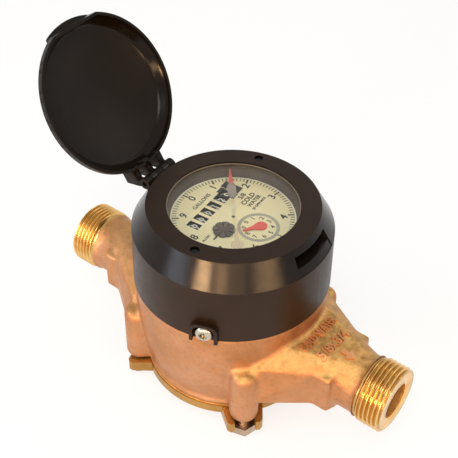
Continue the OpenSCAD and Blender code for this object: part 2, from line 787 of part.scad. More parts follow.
// bridge over the gear train that also carries the number wheel shaft
module movement_bridge() {
    color([0.83, 0.75, 0.54])
        turned()
            difference() {
                union() {
                    translate([0, 0, MID_PLATE])
                        cylinder(r = CAN_INNER - 3, h = 1.2, $fn = 96);
                    for (y = POSTS)
                        translate([-number_reach - 2, y, MID_PLATE])
                            cube([4, POST_WIDTH, NUMBER_Z + 2 - MID_PLATE]);
                }
                for (p = [[0, 0], A1, A2, A3, A4])
                    translate([p[0], p[1], MID_PLATE - 1])
                        cylinder(r = ARBOR_BORE, h = 4, $fn = 32);
                for (a = PILLARS)
                    rotate([0, 0, a])
                        translate([PILLAR_REACH, 0, MID_PLATE - 1])
                            cylinder(r = 2, h = 4);
                translate([-number_reach, SHAFT_START - 1, NUMBER_Z])
                    rotate([-90, 0, 0])
                        cylinder(r = arbor_radius, h = SHAFT_LENGTH + 2, $fn = 32);
            }
}

// arbor of the flow star with its wheel and pinion
module star_arbor() {
    color([0.86, 0.80, 0.62])
        turned()
            union() {
                arbor(A1, LOW_PLATE + 0.1, POINTER_Z + 0.4);
                gear_at(A1, wheel_teeth, LEVEL_A, mesh([0, 0], A1, pinion_teeth, 0, wheel_teeth));
                gear_at(A1, pinion_teeth, LEVEL_B, 0);
            }
}

// second arbor of the gear train
module second_arbor() {
    color([0.84, 0.78, 0.60])
        turned()
            union() {
                arbor(A2, LOW_PLATE + 0.1, MID_PLATE + 1.1);
                gear_at(A2, wheel_teeth, LEVEL_B, mesh(A1, A2, pinion_teeth, 0, wheel_teeth));
                gear_at(A2, pinion_teeth, LEVEL_C, 0);
            }
}

// arbor of the small pointer
module pointer_arbor() {
    color([0.86, 0.80, 0.62])
        turned()
            union() {
                arbor(A3, LOW_PLATE + 0.1, POINTER_Z + 0.4);
                gear_at(A3, wheel_teeth, LEVEL_C, mesh(A2, A3, pinion_teeth, 0, wheel_teeth));
                gear_at(A3, IDLER_PINION, LEVEL_D, 0);
            }
}

// idler between the small pointer and the sweep hand
module idler_arbor() {
    color([0.84, 0.78, 0.60])
        turned()
            union() {
                arbor(A4, MID_PLATE + 0.1, LEVEL_E + gear_thick + 0.4);
                gear_at(A4, IDLER_WHEEL, LEVEL_D, mesh(A3, A4, IDLER_PINION, 0, IDLER_WHEEL));
                gear_at(A4, CENTRE_PINION, LEVEL_E, 0);
            }
}

// arbor of the sweep hand
module centre_arbor() {
    color([0.86, 0.80, 0.62])
        turned()
            union() {
                arbor([0, 0], MID_PLATE + 0.7, HAND_Z + 0.3);
                gear_at([0, 0], IDLER_WHEEL, LEVEL_E, mesh(A4, [0, 0], CENTRE_PINION, 0, IDLER_WHEEL));
            }
}

// shaft of the number wheels
module number_shaft() {
    color([0.70, 0.70, 0.72])
        turned()
            translate([-number_reach, SHAFT_START, NUMBER_Z])
                rotate([-90, 0, 0])
                    cylinder(r = arbor_radius, h = SHAFT_LENGTH, $fn = 32);
}

// one number wheel, counted from the left of the dial
module number_wheel(i, w) {
    turned()
        translate([-number_reach, NUMBER_POS[i] - w / 2, NUMBER_Z])
            rotate([-90, 0, 0])
                difference() {
                    union() {
                        cylinder(r = number_radius, h = w, $fn = 60);
                        translate([0, 0, w - 0.1])
                            cylinder(r = number_radius - 1.4, h = 0.5, $fn = 20);
                    }
                    translate([0, 0, -1])
                        cylinder(r = ARBOR_BORE, h = w + 3, $fn = 32);
                }
}

// first number wheel
module number_wheel_1() {
    color([0.08, 0.08, 0.08])
        number_wheel(0, WHEEL_WIDTH);
}

// second number wheel
module number_wheel_2() {
    color([0.08, 0.08, 0.08])
        number_wheel(1, WHEEL_WIDTH);
}

// third number wheel
module number_wheel_3() {
    color([0.08, 0.08, 0.08])
        number_wheel(2, WHEEL_WIDTH);
}

// fourth number wheel
module number_wheel_4() {
    color([0.08, 0.08, 0.08])
        number_wheel(3, WHEEL_WIDTH);
}

// fifth number wheel
module number_wheel_5() {
    color([0.08, 0.08, 0.08])
        number_wheel(4, WHEEL_WIDTH);
}

// sixth number wheel
module number_wheel_6() {
    color([0.08, 0.08, 0.08])
        number_wheel(5, WHEEL_WIDTH);
}

// dial face with windows for the number wheels
module dial_plate() {
    color([0.90, 0.86, 0.68])
        turned()
            difference() {
                translate([0, 0, DIAL_BOTTOM])
                    cylinder(r = CAN_INNER - seat_gap, h = dial_thick, $fn = 128);
                for (i = [0:3])
                    translate([
                        -number_reach - window_height / 2, NUMBER_POS[i] - window_width / 2, DIAL_BOTTOM - 1
                    ])
                        cube([window_height, window_width, 3]);
                translate([-number_reach - window_height / 2, NUMBER_POS[4] - 2, DIAL_BOTTOM - 1])
                    cube([window_height, large_pitch + 4, 3]);
                for (p = [[0, 0], A1, A3])
                    translate([p[0], p[1], DIAL_BOTTOM - 1])
                        cylinder(r = ARBOR_BORE, h = 3, $fn = 32);
            }
}

// star wheel with eight round lobes that shows the smallest flow
module leak_star() {
    color([0.20, 0.19, 0.17])
        turned()
            translate([A1[0], A1[1], POINTER_Z])
                difference() {
                    linear_extrude(height = 0.5)
                        union() {
                            circle(r = 4.2, $fn = 48);
                            for (i = [0:7])
                                rotate(45 * i)
                                    translate([3.9, 0])
                                        circle(r = 1.3, $fn = 32);
                        }
                    translate([0, 0, -1])
                        cylinder(r = arbor_radius, h = 3, $fn = 32);
                }
}

// red pointer of the small dial, a teardrop with a round tail
module dial_pointer() {
    color([0.82, 0.20, 0.16])
        turned()
            translate([A3[0], A3[1], POINTER_Z])
                difference() {
                    rotate([0, 0, pointer_angle])
                        linear_extrude(height = 0.5)
                            union() {
                                translate([-2, 0])
                                    circle(r = 2.6, $fn = 48);
                                polygon([
                                    [-1.4, -2.53], [1.6, -2.1], [8.1, -0.35],
                                    [8.1, 0.35], [1.6, 2.1], [-1.4, 2.53]
                                ]);
                            }
                    translate([0, 0, -1])
                        cylinder(r = arbor_radius, h = 3, $fn = 32);
                }
}

// long sweep hand of the dial with its paddle and round counterweight
module sweep_hand() {
    color([0.84, 0.24, 0.18])
        turned()
            translate([0, 0, HAND_Z])
                difference() {
                    rotate([0, 0, hand_angle])
                        linear_extrude(height = 0.5)
                            union() {
                                circle(r = 1.9, $fn = 48);
                                translate([4.2 - HAND_REACH, 0])
                                    circle(r = 2.7, $fn = 48);
                                polygon([
                                    [4.2 - HAND_REACH, -0.9], [HAND_REACH * 0.26, -0.9],
                                    [HAND_REACH * 0.34, -2.2], [HAND_REACH * 0.54, -2.2],
                                    [HAND_REACH * 0.62, -1.2], [HAND_REACH, -0.2],
                                    [HAND_REACH, 0.2], [HAND_REACH * 0.62, 1.2],
                                    [HAND_REACH * 0.54, 2.2], [HAND_REACH * 0.34, 2.2],
                                    [HAND_REACH * 0.26, 0.9], [4.2 - HAND_REACH, 0.9]
                                ]);
                            }
                    translate([0, 0, -1])
                        cylinder(r = arbor_radius, h = 3, $fn = 32);
                }
}

// grey ring between the dial and the glass
module bezel_ring() {
    color([0.45, 0.40, 0.36])
        rotate_extrude($fn = 128)
            polygon([
                [DIAL_RADIUS, DIAL_HEIGHT], [CAN_INNER - seat_gap, DIAL_HEIGHT],
                [CAN_INNER - seat_gap, GLASS_Z],
                [WINDOW_RADIUS + 1.4, GLASS_Z], [DIAL_RADIUS, DIAL_HEIGHT + 0.8]
            ]);
}

// window glass of the register
module window_glass() {
    color([0.85, 0.92, 0.95, 0.3])
        translate([0, 0, GLASS_Z])
            cylinder(r = CAN_INNER - seat_gap, h = glass_thick, $fn = 128);
}

// one shroud knuckle of the hinge on its foot, set at place v along the hinge
module knuckle(v) {
    translate([-HINGE_REACH, v + ARM / 2, HINGE_HEIGHT])
        rotate([90, 0, 0])
            linear_extrude(height = ARM)
                union() {
                    circle(r = knuckle_radius, $fn = 48);
                    rotate(-45)
                        translate([0, -knuckle_radius * 0.7])
                            square([knuckle_radius + 1.4, knuckle_radius * 1.4]);
                }
}

// pocket in the bevel that the lid arms turn in
module hinge_pocket() {
    translate([-HINGE_REACH, -hinge_width / 2 - move_gap, HINGE_HEIGHT])
        rotate([-90, 0, 0])
            cylinder(r = knuckle_radius + move_gap, h = hinge_width + 2 * move_gap, $fn = 48);
}

// upright slot outline with rounded upper corners, its top at height top
module slot_outline(half, corner, top, low) {
    union() {
        for (side = [-1, 1])
            translate([side * (half - corner), top - corner])
                circle(r = corner, $fn = 32);
        translate([corner - half, top - 2 * corner])
            square([2 * (half - corner), 2 * corner]);
        translate([-half, low])
            square([2 * half, top - corner - low]);
    }
}

// arch over the seal screw, drawn on the plane across +X
module arch() {
    rotate([90, 0, 90])
        linear_extrude(height = 6)
            difference() {
                slot_outline(arch_half, 4.6, screw_head + 0.4 + arch_wall, -4.6);
                slot_outline(arch_half - arch_wall, 3.4, screw_head + 0.4, -6);
            }
}

// black shroud over the register with its hinge, notch and screw arch
module shroud() {
    color([0.12, 0.10, 0.09])
        shroud_turned()
            difference() {
                union() {
                    difference() {
                        rotate_extrude($fn = 128)
                            polygon([
                                [SKIRT_INNER, SKIRT_BOTTOM], [SKIRT_RADIUS - 0.5, SKIRT_BOTTOM],
                                [SKIRT_RADIUS, SKIRT_BOTTOM + 0.5], [BEVEL_RADIUS, BEVEL_HEIGHT],
                                [RING_RADIUS, RING_HEIGHT], [WINDOW_RADIUS, RING_HEIGHT],
                                [WINDOW_RADIUS, CAN_TOP], [CAN_RADIUS + 0.2, CAN_TOP],
                                [CAN_RADIUS + 0.2, BEVEL_HEIGHT + 2], [SKIRT_INNER, BEVEL_HEIGHT - 4]
                            ]);
                        hinge_pocket();
                    }
                    knuckle(-ARM - move_gap);
                    knuckle(ARM + move_gap);
                    rotate([0, 0, screw_angle - shroud_turn])
                        intersection() {
                            translate([SKIRT_INNER + 1, 0, SCREW_HEIGHT])
                                arch();
                            tube(SKIRT_RADIUS + arch_reach, bowl_radius + 0.4, SHELF_HEIGHT - 5, 30);
                        }
                }
                translate([0, 0, BEVEL_HEIGHT + 3.4])
                    rotate([0, 0, -notch_angle / 2])
                        rotate_extrude(angle = notch_angle, $fn = 96)
                            translate([CAN_RADIUS + 1.2, 0])
                                square([12, notch_height]);
                rotate([0, 0, -notch_angle / 2])
                    rotate_extrude(angle = notch_angle, $fn = 96)
                        polygon([
                            [BEVEL_RADIUS - 0.35, BEVEL_HEIGHT - 0.1], [BEVEL_RADIUS + 6, BEVEL_HEIGHT - 0.1],
                            [BEVEL_RADIUS + 6, BEVEL_HEIGHT + 4], [BEVEL_RADIUS - 2.9, BEVEL_HEIGHT + 4]
                        ]);
                for (a = [105, -83])
                    rotate([0, 0, a])
                        translate([SPANNER_CIRCLE, 0, RING_HEIGHT - ring_thick * 0.75])
                            cylinder(r = spanner_radius, h = 3, $fn = 32);
                translate([-HINGE_REACH, -hinge_width, HINGE_HEIGHT])
                    rotate([-90, 0, 0])
                        cylinder(r = pin_radius, h = 2 * hinge_width, $fn = 32);
                rotate([0, 0, screw_angle - shroud_turn])
                    translate([0, 0, SCREW_HEIGHT])
                        bar_x(2.15, SKIRT_INNER - 2, 10);
            }
}

// tamper resistant screw that locks the shroud on the case
module seal_screw() {
    color([0.78, 0.78, 0.80])
        rotate([0, 0, screw_angle])
            translate([0, 0, SCREW_HEIGHT])
                rotate([0, 90, 0])
                    difference() {
                        union() {
                            translate([0, 0, CAN_RADIUS + 4])
                                cylinder(r = 2, h = SKIRT_RADIUS - CAN_RADIUS - 3.5, $fn = 32);
                            rotate_extrude($fn = 64)
                                polygon([
                                    [0, SKIRT_RADIUS], [screw_head, SKIRT_RADIUS],
                                    [screw_head, SKIRT_RADIUS + 0.7], [screw_head * 0.86, SKIRT_RADIUS + 1.6],
                                    [screw_head * 0.6, SKIRT_RADIUS + 2.1], [0, SKIRT_RADIUS + 2.3]
                                ]);
                        }
                        translate([0, 0, SKIRT_RADIUS + 0.9])
                            difference() {
                                cylinder(r = 1.7, h = 3, $fn = 6);
                                cylinder(r = 0.55, h = 3, $fn = 32);
                            }
                    }
}

// pin of the lid hinge
module hinge_pin() {
    color([0.70, 0.70, 0.72])
        shroud_turned()
            translate([-HINGE_REACH, -hinge_width / 2 + 1.5, HINGE_HEIGHT])
                rotate([-90, 0, 0])
                    cylinder(r = pin_radius, h = hinge_width - 3, $fn = 32);
}

// one lid arm of the hinge, set at place v along the hinge
module lid_arm(v) {
    translate([0, v + ARM / 2, 0])
        rotate([90, 0, 0])
            linear_extrude(height = ARM)
                union() {
                    circle(r = knuckle_radius, $fn = 48);
                    polygon([
                        [-knuckle_radius * 0.3, knuckle_radius * 0.9], [-0.3, LID_SEAT + 1.2], [2.2, LID_TOP],
                        [HINGE_REACH - LID_RADIUS + 4, LID_TOP],
                        [HINGE_REACH - LID_RADIUS + 2.6, LID_SEAT + 0.2],
                        [2.4, LID_SEAT + 0.2], [knuckle_radius * 0.6, knuckle_radius * 0.75]
                    ]);
                }
}

// lid in its closed place, hinge axis along Y at the origin
module lid_closed() {
    difference() {
        union() {
            translate([HINGE_REACH, 0, 0])
                difference() {
                    rotate_extrude($fn = 128)
                        polygon([
                            [0, LID_SEAT], [LID_RADIUS, LID_SEAT], [LID_RADIUS, LID_TOP - 1.8],
                            [LID_RADIUS - 0.6, LID_TOP - 0.6], [LID_RADIUS - 1.8, LID_TOP], [0, LID_TOP]
                        ]);
                    intersection() {
                        rotate_extrude($fn = 128)
                            polygon([
                                [0, LID_SEAT - 1], [LID_RADIUS - lid_wall * 0.8, LID_SEAT - 1],
                                [LID_RADIUS - lid_wall * 0.8, LID_SEAT + 0.6],
                                [LID_FLOOR, LID_TOP - lid_wall], [0, LID_TOP - lid_wall]
                            ]);
                        translate([-2 * LID_RADIUS, -LID_RADIUS, LID_SEAT - 2])
                            cube([
                                2 * LID_RADIUS + LID_CHORD - lid_wall * 0.8, 2 * LID_RADIUS, 2 * lid_height
                            ]);
                    }
                    translate([LID_CHORD, -LID_RADIUS, LID_SEAT - 1])
                        cube([LID_RADIUS, 2 * LID_RADIUS, lid_height - lid_wall + 1]);
                }
            lid_arm(-2 * (ARM + move_gap));
            lid_arm(0);
            lid_arm(2 * (ARM + move_gap));
        }
        translate([0, -hinge_width, 0])
            rotate([-90, 0, 0])
                cylinder(r = PIN_BORE, h = 2 * hinge_width, $fn = 32);
    }
}

// lid standing open as it rests on its stop
module lid() {
    color([0.12, 0.10, 0.09])
        shroud_turned()
            translate([-HINGE_REACH, 0, HINGE_HEIGHT])
                rotate([0, -lid_open, 0])
                    lid_closed();
}

main_case();
bottom_plate();
plate_gasket();
plate_bolts();
chamber_base();
chamber_top();
partition_plate();
strainer();
outlet_seal();
nutating_disc();
disc_driver();
drive_magnet();
register_can();
follower_magnet();
movement_base();
movement_bridge();
star_arbor();
second_arbor();
pointer_arbor();
idler_arbor();
centre_arbor();
number_shaft();
number_wheel_1();
number_wheel_2();
number_wheel_3();
number_wheel_4();
number_wheel_5();
number_wheel_6();
dial_plate();
leak_star();
dial_pointer();
sweep_hand();
bezel_ring();
window_glass();
shroud();
seal_screw();
hinge_pin();
lid();
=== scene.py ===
import math

import bmesh
import bpy
from mathutils import Matrix, Vector
from mathutils.bvhtree import BVHTree

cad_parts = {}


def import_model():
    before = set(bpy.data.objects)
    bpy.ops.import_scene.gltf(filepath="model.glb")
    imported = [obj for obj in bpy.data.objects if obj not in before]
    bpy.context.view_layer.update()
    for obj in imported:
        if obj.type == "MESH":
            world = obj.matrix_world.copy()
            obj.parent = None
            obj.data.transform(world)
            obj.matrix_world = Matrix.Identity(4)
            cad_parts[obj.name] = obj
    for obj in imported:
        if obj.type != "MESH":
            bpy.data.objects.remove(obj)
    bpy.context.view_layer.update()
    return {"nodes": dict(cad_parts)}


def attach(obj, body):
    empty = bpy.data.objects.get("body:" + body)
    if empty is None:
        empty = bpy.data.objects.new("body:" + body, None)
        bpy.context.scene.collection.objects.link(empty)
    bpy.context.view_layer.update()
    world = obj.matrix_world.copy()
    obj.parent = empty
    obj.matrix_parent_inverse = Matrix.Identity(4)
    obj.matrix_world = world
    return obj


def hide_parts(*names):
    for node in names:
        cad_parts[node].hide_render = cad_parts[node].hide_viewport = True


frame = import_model()
nodes = frame["nodes"]
scene = bpy.context.scene
MM = 0.001

# Lengths are in millimetres and angles in degrees, as in the solids.
# Case and pipe ends
AXIS = 38.0
END = 95.25
NECK = 14.9
NECK_CUT = 80.6
BORE = 8.85
THREAD_START = 81.25
THREAD_CREST = 16.45
THREAD_ROOT = 15.1
THREAD_PITCH = 2.21

# Register
TURN = 5.0
DIAL = 98.4
DIAL_RADIUS = 29.2
WINDOW_RADIUS = 30.8
GLASS_TOP = 106.1
NUMBER_REACH = 11.8
NUMBER_RADIUS = 4.2
NUMBER_Z = 93.0
NUMBER_POS = [-14.9, -9.3, -3.7, 1.9, 7.6, 12.3]
WINDOW_HALF = 3.2
HAND_ANGLE = 126.0
POINTER = (13.6, 0.0)
POINTER_ANGLE = 234.0
POINTER_Z = 98.8
STAR = (1.55, -10.38)

# Shroud, seal screw and lid
BEVEL = (95.5, 107.3)
SHROUD_TURN = 2.5
SKIRT_RADIUS = 47.6
SCREW_ANGLE = -68.0
SCREW_HEAD = 4.5
HINGE = (43.8, 104.2)
LID_OPEN = 122.0
LID_RADIUS = 37.8
LID_FLOOR = 32.2
LID_SEAT = 3.45
LID_TOP = 10.05

# Forms that only the scene has
VOXEL = 0.75
CASTING_FILLET = 0.8
MARK_RISE = 0.65
INK = 0.05
BAR_INK = 0.04
INK_LIFT = 0.01
LID_DEEPER = 1.1

turned = Matrix.Rotation(math.radians(TURN), 4, "Z")
# Frame of the open lid: its axis along z, the thumb tab toward x
lid_place = (Matrix.Rotation(math.radians(SHROUD_TURN), 4, "Z")
             @ Matrix.Translation((-HINGE[0], 0, HINGE[1]))
             @ Matrix.Rotation(math.radians(-LID_OPEN), 4, "Y")
             @ Matrix.Translation((HINGE[0], 0, 0)))


# Materials

class Shader:
    """A principled material whose node tree is built step by step."""

    def __init__(self, name, colour, rough, metallic=0.0, **sockets):
        self.mat = bpy.data.materials.new(name)
        self.mat.use_nodes = True
        self.tree = self.mat.node_tree
        self.bsdf = self.tree.nodes["Principled BSDF"]
        self.bsdf.inputs["Base Color"].default_value = (*colour, 1)
        self.bsdf.inputs["Roughness"].default_value = rough
        self.bsdf.inputs["Metallic"].default_value = metallic
        for key, value in sockets.items():
            self.bsdf.inputs[key.replace("_", " ")].default_value = value
        self.coord = self.tree.nodes.new("ShaderNodeTexCoord").outputs["Object"]

    def add(self, kind, **values):
        node = self.tree.nodes.new(kind)
        for key, value in values.items():
            if hasattr(node, key):
                setattr(node, key, value)
            else:
                node.inputs[key].default_value = value
        return node

    def link(self, a, b):
        self.tree.links.new(a, b)

    def noise(self, scale, detail=4.0, rough=0.55, stretch=None):
        node = self.add("ShaderNodeTexNoise", Scale=scale, Detail=detail, Roughness=rough)
        source = self.coord
        if stretch:
            mapping = self.add("ShaderNodeMapping")
            mapping.inputs["Scale"].default_value = stretch
            self.link(self.coord, mapping.inputs["Vector"])
            source = mapping.outputs["Vector"]
        self.link(source, node.inputs["Vector"])
        return node.outputs["Fac"]

    def ramp(self, fac, stops):
        node = self.add("ShaderNodeValToRGB")
        elements = node.color_ramp.elements
        while len(elements) < len(stops):
            elements.new(0.5)
        for element, (position, colour) in zip(elements, stops):
            element.position = position
            element.color = (*colour, 1)
        self.link(fac, node.inputs["Fac"])
        return node.outputs["Color"]

    def mix(self, fac, a, b, blend="MIX"):
        node = self.add("ShaderNodeMixRGB", blend_type=blend)
        for socket, value in ((0, fac), (1, a), (2, b)):
            if isinstance(value, (float, int)):
                node.inputs[socket].default_value = value
            elif isinstance(value, tuple):
                node.inputs[socket].default_value = (*value, 1)
            else:
                self.link(value, node.inputs[socket])
        return node.outputs["Color"]

    def times(self, a, b, share=1.0):
        return self.mix(share, a, b, "MULTIPLY")

    def span(self, fac, low, high, start=0.0, end=1.0):
        """Map start to end on low to high."""
        node = self.add("ShaderNodeMapRange")
        for key, value in (("From Min", start), ("From Max", end),
                           ("To Min", low), ("To Max", high)):
            node.inputs[key].default_value = value
        self.link(fac, node.inputs["Value"])
        return node.outputs["Result"]

    def uneven(self, noise, low, high):
        """Map the usual range of a noise on low to high."""
        return self.span(noise, low, high, 0.3, 0.7)

    def colour(self, socket):
        self.link(socket, self.bsdf.inputs["Base Color"])
        return self

    def rough(self, socket):
        self.link(socket, self.bsdf.inputs["Roughness"])
        return self

    def bump(self, *layers):
        """Stack layers of (height, strength, distance)."""
        normal = None
        for height, strength, distance in layers:
            node = self.add("ShaderNodeBump", Strength=strength, Distance=distance)
            self.link(height, node.inputs["Height"])
            if normal is not None:
                self.link(normal, node.inputs["Normal"])
            normal = node.outputs["Normal"]
        self.link(normal, self.bsdf.inputs["Normal"])
        return self

    def recess(self, distance):
        node = self.add("ShaderNodeAmbientOcclusion", Distance=distance, samples=8)
        return node.outputs["AO"]

    def up(self, start, end):
        """How far the surface faces up, from 0 at start to 1 at end."""
        part = self.add("ShaderNodeSeparateXYZ")
        self.link(self.add("ShaderNodeNewGeometry").outputs["Normal"], part.inputs[0])
        return self.span(part.outputs["Z"], 0.0, 1.0, start, end)

    def height(self):
        part = self.add("ShaderNodeSeparateXYZ")
        self.link(self.coord, part.inputs[0])
        return part.outputs["Z"]

    def along(self, direction):
        node = self.add("ShaderNodeVectorMath", operation="DOT_PRODUCT")
        node.inputs[1].default_value = direction
        self.link(self.coord, node.inputs[0])
        return node.outputs["Value"]

    def from_axis(self, point, axis):
        """Distance in metres from an axis through a point."""
        offset = self.add("ShaderNodeVectorMath", operation="SUBTRACT")
        offset.inputs[1].default_value = point
        self.link(self.coord, offset.inputs[0])
        across = self.add("ShaderNodeVectorMath", operation="CROSS_PRODUCT")
        across.inputs[1].default_value = axis
        self.link(offset.outputs["Vector"], across.inputs[0])
        length = self.add("ShaderNodeVectorMath", operation="LENGTH")
        self.link(across.outputs["Vector"], length.inputs[0])
        return length.outputs["Value"]


def bronze(name="bronze", top_reflection=1.0, hollow_shade_share=0.55, light=1.0):
    """Sand-cast bronze: pink flanks, fine grain, a painted reflection on the tops and painted shade
    in the hollows.
    """
    s = Shader(name, (0.60, 0.29, 0.14), 0.5, 0.9)
    tone = s.ramp(s.noise(26, 6, 0.6), [
        (0.28, (0.35, 0.160, 0.058)), (0.48, (0.49, 0.238, 0.107)), (0.70, (0.570, 0.308, 0.172))])
    # light above one paints the whole colour lighter; the letters use this as a painted highlight
    tone = s.times(tone, (light, light, light))
    # painted reflection: up-facing faces take a gold tone flecked with painted glints, stronger
    # toward the outlet end
    top = s.ramp(s.noise(240, 5, 0.65), [
        (0.32, (0.37, 0.186, 0.056)), (0.62, (0.70, 0.425, 0.150))])
    outlet = s.span(s.along((1, 0, 0)), 0.35 * top_reflection, top_reflection, -0.02, 0.02)
    tone = s.mix(s.times(s.up(0.55, 0.90), outlet), tone, top)
    speck = s.ramp(s.noise(520, 6, 0.7), [(0.30, (0.62, 0.55, 0.46)), (0.50, (1, 1, 1))])
    tone = s.times(tone, speck, 0.45)
    # painted shade: the colour darkens where the ambient occlusion node finds a recess
    hollow_shade = s.ramp(s.recess(0.005), [(0.25, (0.40, 0.31, 0.18)), (0.80, (1, 1, 1))])
    s.colour(s.times(tone, hollow_shade, hollow_shade_share))
    s.rough(s.uneven(s.noise(240, 4), 0.40, 0.60))
    return s.bump((s.noise(1000, 3), 0.24, 0.0005), (s.noise(170, 4), 0.20, 0.0010)).mat


def thread_brass():
    """Turned brass, with painted shade in the thread's roots; the bore is paler and less
    mirror-like, and painted darker with its depth as shade.
    """
    s = Shader("thread_brass", (0.80, 0.48, 0.165), 0.24, 1.0)
    tone = s.ramp(s.noise(90, 4), [(0.35, (0.72, 0.42, 0.13)), (0.62, (0.90, 0.58, 0.22))])
    r = s.from_axis((0, 0, AXIS * MM), (1, 0, 0))
    # painted shade: the colour darkens toward the roots of the thread
    root_shade = s.span(r, 0.70, 1.0, THREAD_ROOT * MM, (THREAD_CREST - 0.3) * MM)
    outside = s.span(r, 0.0, 1.0, (THREAD_ROOT - 0.6) * MM, (THREAD_ROOT - 0.3) * MM)
    tone = s.mix(outside, tone, s.times(tone, root_shade))
    inside = s.span(r, 1.0, 0.0, (BORE + 0.1) * MM, (BORE + 0.7) * MM)
    # painted shade: the bore darkens from its mouth inward
    depth = s.span(s.along((1, 0, 0)), 0.0, 1.0, (END - 14) * MM, (END - 0.5) * MM)
    bore = s.ramp(depth, [(0.0, (0.34, 0.17, 0.05)), (1.0, (0.82, 0.48, 0.16))])
    s.colour(s.mix(inside, tone, bore))
    s.link(s.span(inside, 1.0, 0.72), s.bsdf.inputs["Metallic"])
    lines = (1.0, 0.05, 0.05)
    s.rough(s.uneven(s.noise(600, 3, 0.6, lines), 0.18, 0.36))
    return s.bump((s.noise(700, 2, 0.5, lines), 0.12, 0.0002)).mat


def machined(name, colour, rough, lines):
    """Turned or drawn metal; lines stretches its tool marks."""
    s = Shader(name, colour, rough, 1.0)
    dark = tuple(c * 0.72 for c in colour)
    s.colour(s.ramp(s.noise(90, 4), [(0.35, dark), (0.62, colour)]))
    s.rough(s.uneven(s.noise(600, 3, 0.6, lines), rough * 0.7, rough * 1.4))
    return s.bump((s.noise(700, 2, 0.5, lines), 0.12, 0.0002)).mat


def arbor_brass(name, tip, see_through=0.0):
    """Brass arbor whose tip above the dial takes the colour of what it carries."""
    s = Shader(name, (0.70, 0.54, 0.26), 0.3, 1.0)
    tone = s.ramp(s.noise(90, 4), [(0.35, (0.50, 0.39, 0.19)), (0.62, (0.70, 0.54, 0.26))])
    above = s.span(s.height(), 0.0, 1.0, (DIAL - 0.1) * MM, DIAL * MM)
    s.colour(s.mix(above, tone, tip))
    s.link(s.span(above, 1.0, 0.0), s.bsdf.inputs["Metallic"])
    s.link(s.span(above, 1.0, 1.0 - see_through), s.bsdf.inputs["Alpha"])
    return s.bump((s.noise(700, 2, 0.5, (1, 1, 0.1)), 0.12, 0.0002)).mat


def dial_cream():
    """Cream dial face; the cut edges of its windows are black."""
    s = Shader("dial_cream", (0.86, 0.77, 0.475), 0.5)
    tone = s.ramp(s.noise(70, 4), [(0.36, (0.875, 0.775, 0.465)), (0.66, (0.910, 0.82, 0.515))])
    below = s.span(s.height(), 1.0, 0.0, (DIAL - 0.08) * MM, (DIAL - 0.03) * MM)
    s.colour(s.mix(below, tone, (0.02, 0.017, 0.013)))
    s.rough(s.uneven(s.noise(450, 4), 0.43, 0.6))
    return s.bump((s.noise(2600, 2), 0.03, 0.00025)).mat


def star_plastic():
    """Grey star whose grooves are painted dark as shade."""
    s = Shader("star_dark", (0.110, 0.090, 0.064), 0.5)
    tone = s.ramp(s.noise(300, 3), [(0.36, (0.100, 0.082, 0.058)), (0.66, (0.135, 0.112, 0.080))])
    # painted shade: the star darkens toward the floor of its grooves
    low = s.span(s.height(), 1.0, 0.0, (POINTER_Z + 0.10) * MM, (POINTER_Z + 0.42) * MM)
    s.colour(s.mix(low, tone, (0.022, 0.018, 0.013)))
    return s.bump((s.noise(2600, 2), 0.08, 0.00025)).mat


def plate_brass():
    """Cast brass of the bottom plate, with painted shade in its hollows."""
    s = Shader("plate_brass", (0.62, 0.33, 0.08), 0.38, 0.85)
    tone = s.ramp(s.noise(60, 5), [(0.33, (0.31, 0.170, 0.042)), (0.60, (0.46, 0.268, 0.076))])
    # painted shade: the colour darkens where the ambient occlusion node finds a recess
    hollow_shade = s.ramp(s.recess(0.002), [(0.20, (0.50, 0.40, 0.26)), (0.75, (1, 1, 1))])
    s.colour(s.times(tone, hollow_shade, 0.5))
    s.rough(s.uneven(s.noise(300, 4), 0.28, 0.50))
    return s.bump((s.noise(1100, 3), 0.15, 0.0004), (s.noise(200, 3), 0.10, 0.0008)).mat


def plastic(name, colour, rough, grain=0.08):
    """Plain moulded plastic or ink with a faint mottle and grain."""
    s = Shader(name, colour, rough)
    light = tuple(min(1.0, c * 1.3 + 0.002) for c in colour)
    s.colour(s.ramp(s.noise(70, 4), [(0.36, colour), (0.66, light)]))
    s.rough(s.uneven(s.noise(450, 4), rough * 0.86, rough * 1.2))
    return s.bump((s.noise(2600, 2), grain, 0.00025), (s.noise(120, 2), 0.04, 0.0006)).mat


def moulded(name, base, gloss, level):
    """Dark moulded plastic; base and gloss map its colour and its roughness."""
    s = Shader(name, (0.02, 0.01, 0.006), 0.4, Specular_IOR_Level=level)
    mottle = s.ramp(s.noise(60, 5), [(0.34, (0.80, 0.80, 0.80)), (0.68, (1.10, 1.10, 1.10))])
    s.colour(s.times(base(s), mottle))
    total = s.add("ShaderNodeMath", operation="ADD")
    s.link(gloss(s), total.inputs[0])
    s.link(s.uneven(s.noise(190, 4), -0.03, 0.04), total.inputs[1])
    s.rough(total.outputs["Value"])
    return s.bump((s.noise(2400, 2), 0.06, 0.00025), (s.noise(110, 2), 0.03, 0.0006)).mat


def between(s, value, start, end, stops):
    """One on a band of a length, nought elsewhere; stops are shares of start to end."""
    share = s.span(value, 0.0, 1.0, start * MM, end * MM)
    return s.ramp(share, [(p, (v, v, v)) for p, v in zip(stops, (0, 1, 1, 0))])


def on_bevel(s):
    """One on the polished bevel of the shroud, nought on its skirt and ring."""
    return between(s, s.height(), BEVEL[0] - 1, BEVEL[1] + 1, (0.055, 0.085, 0.915, 0.925))


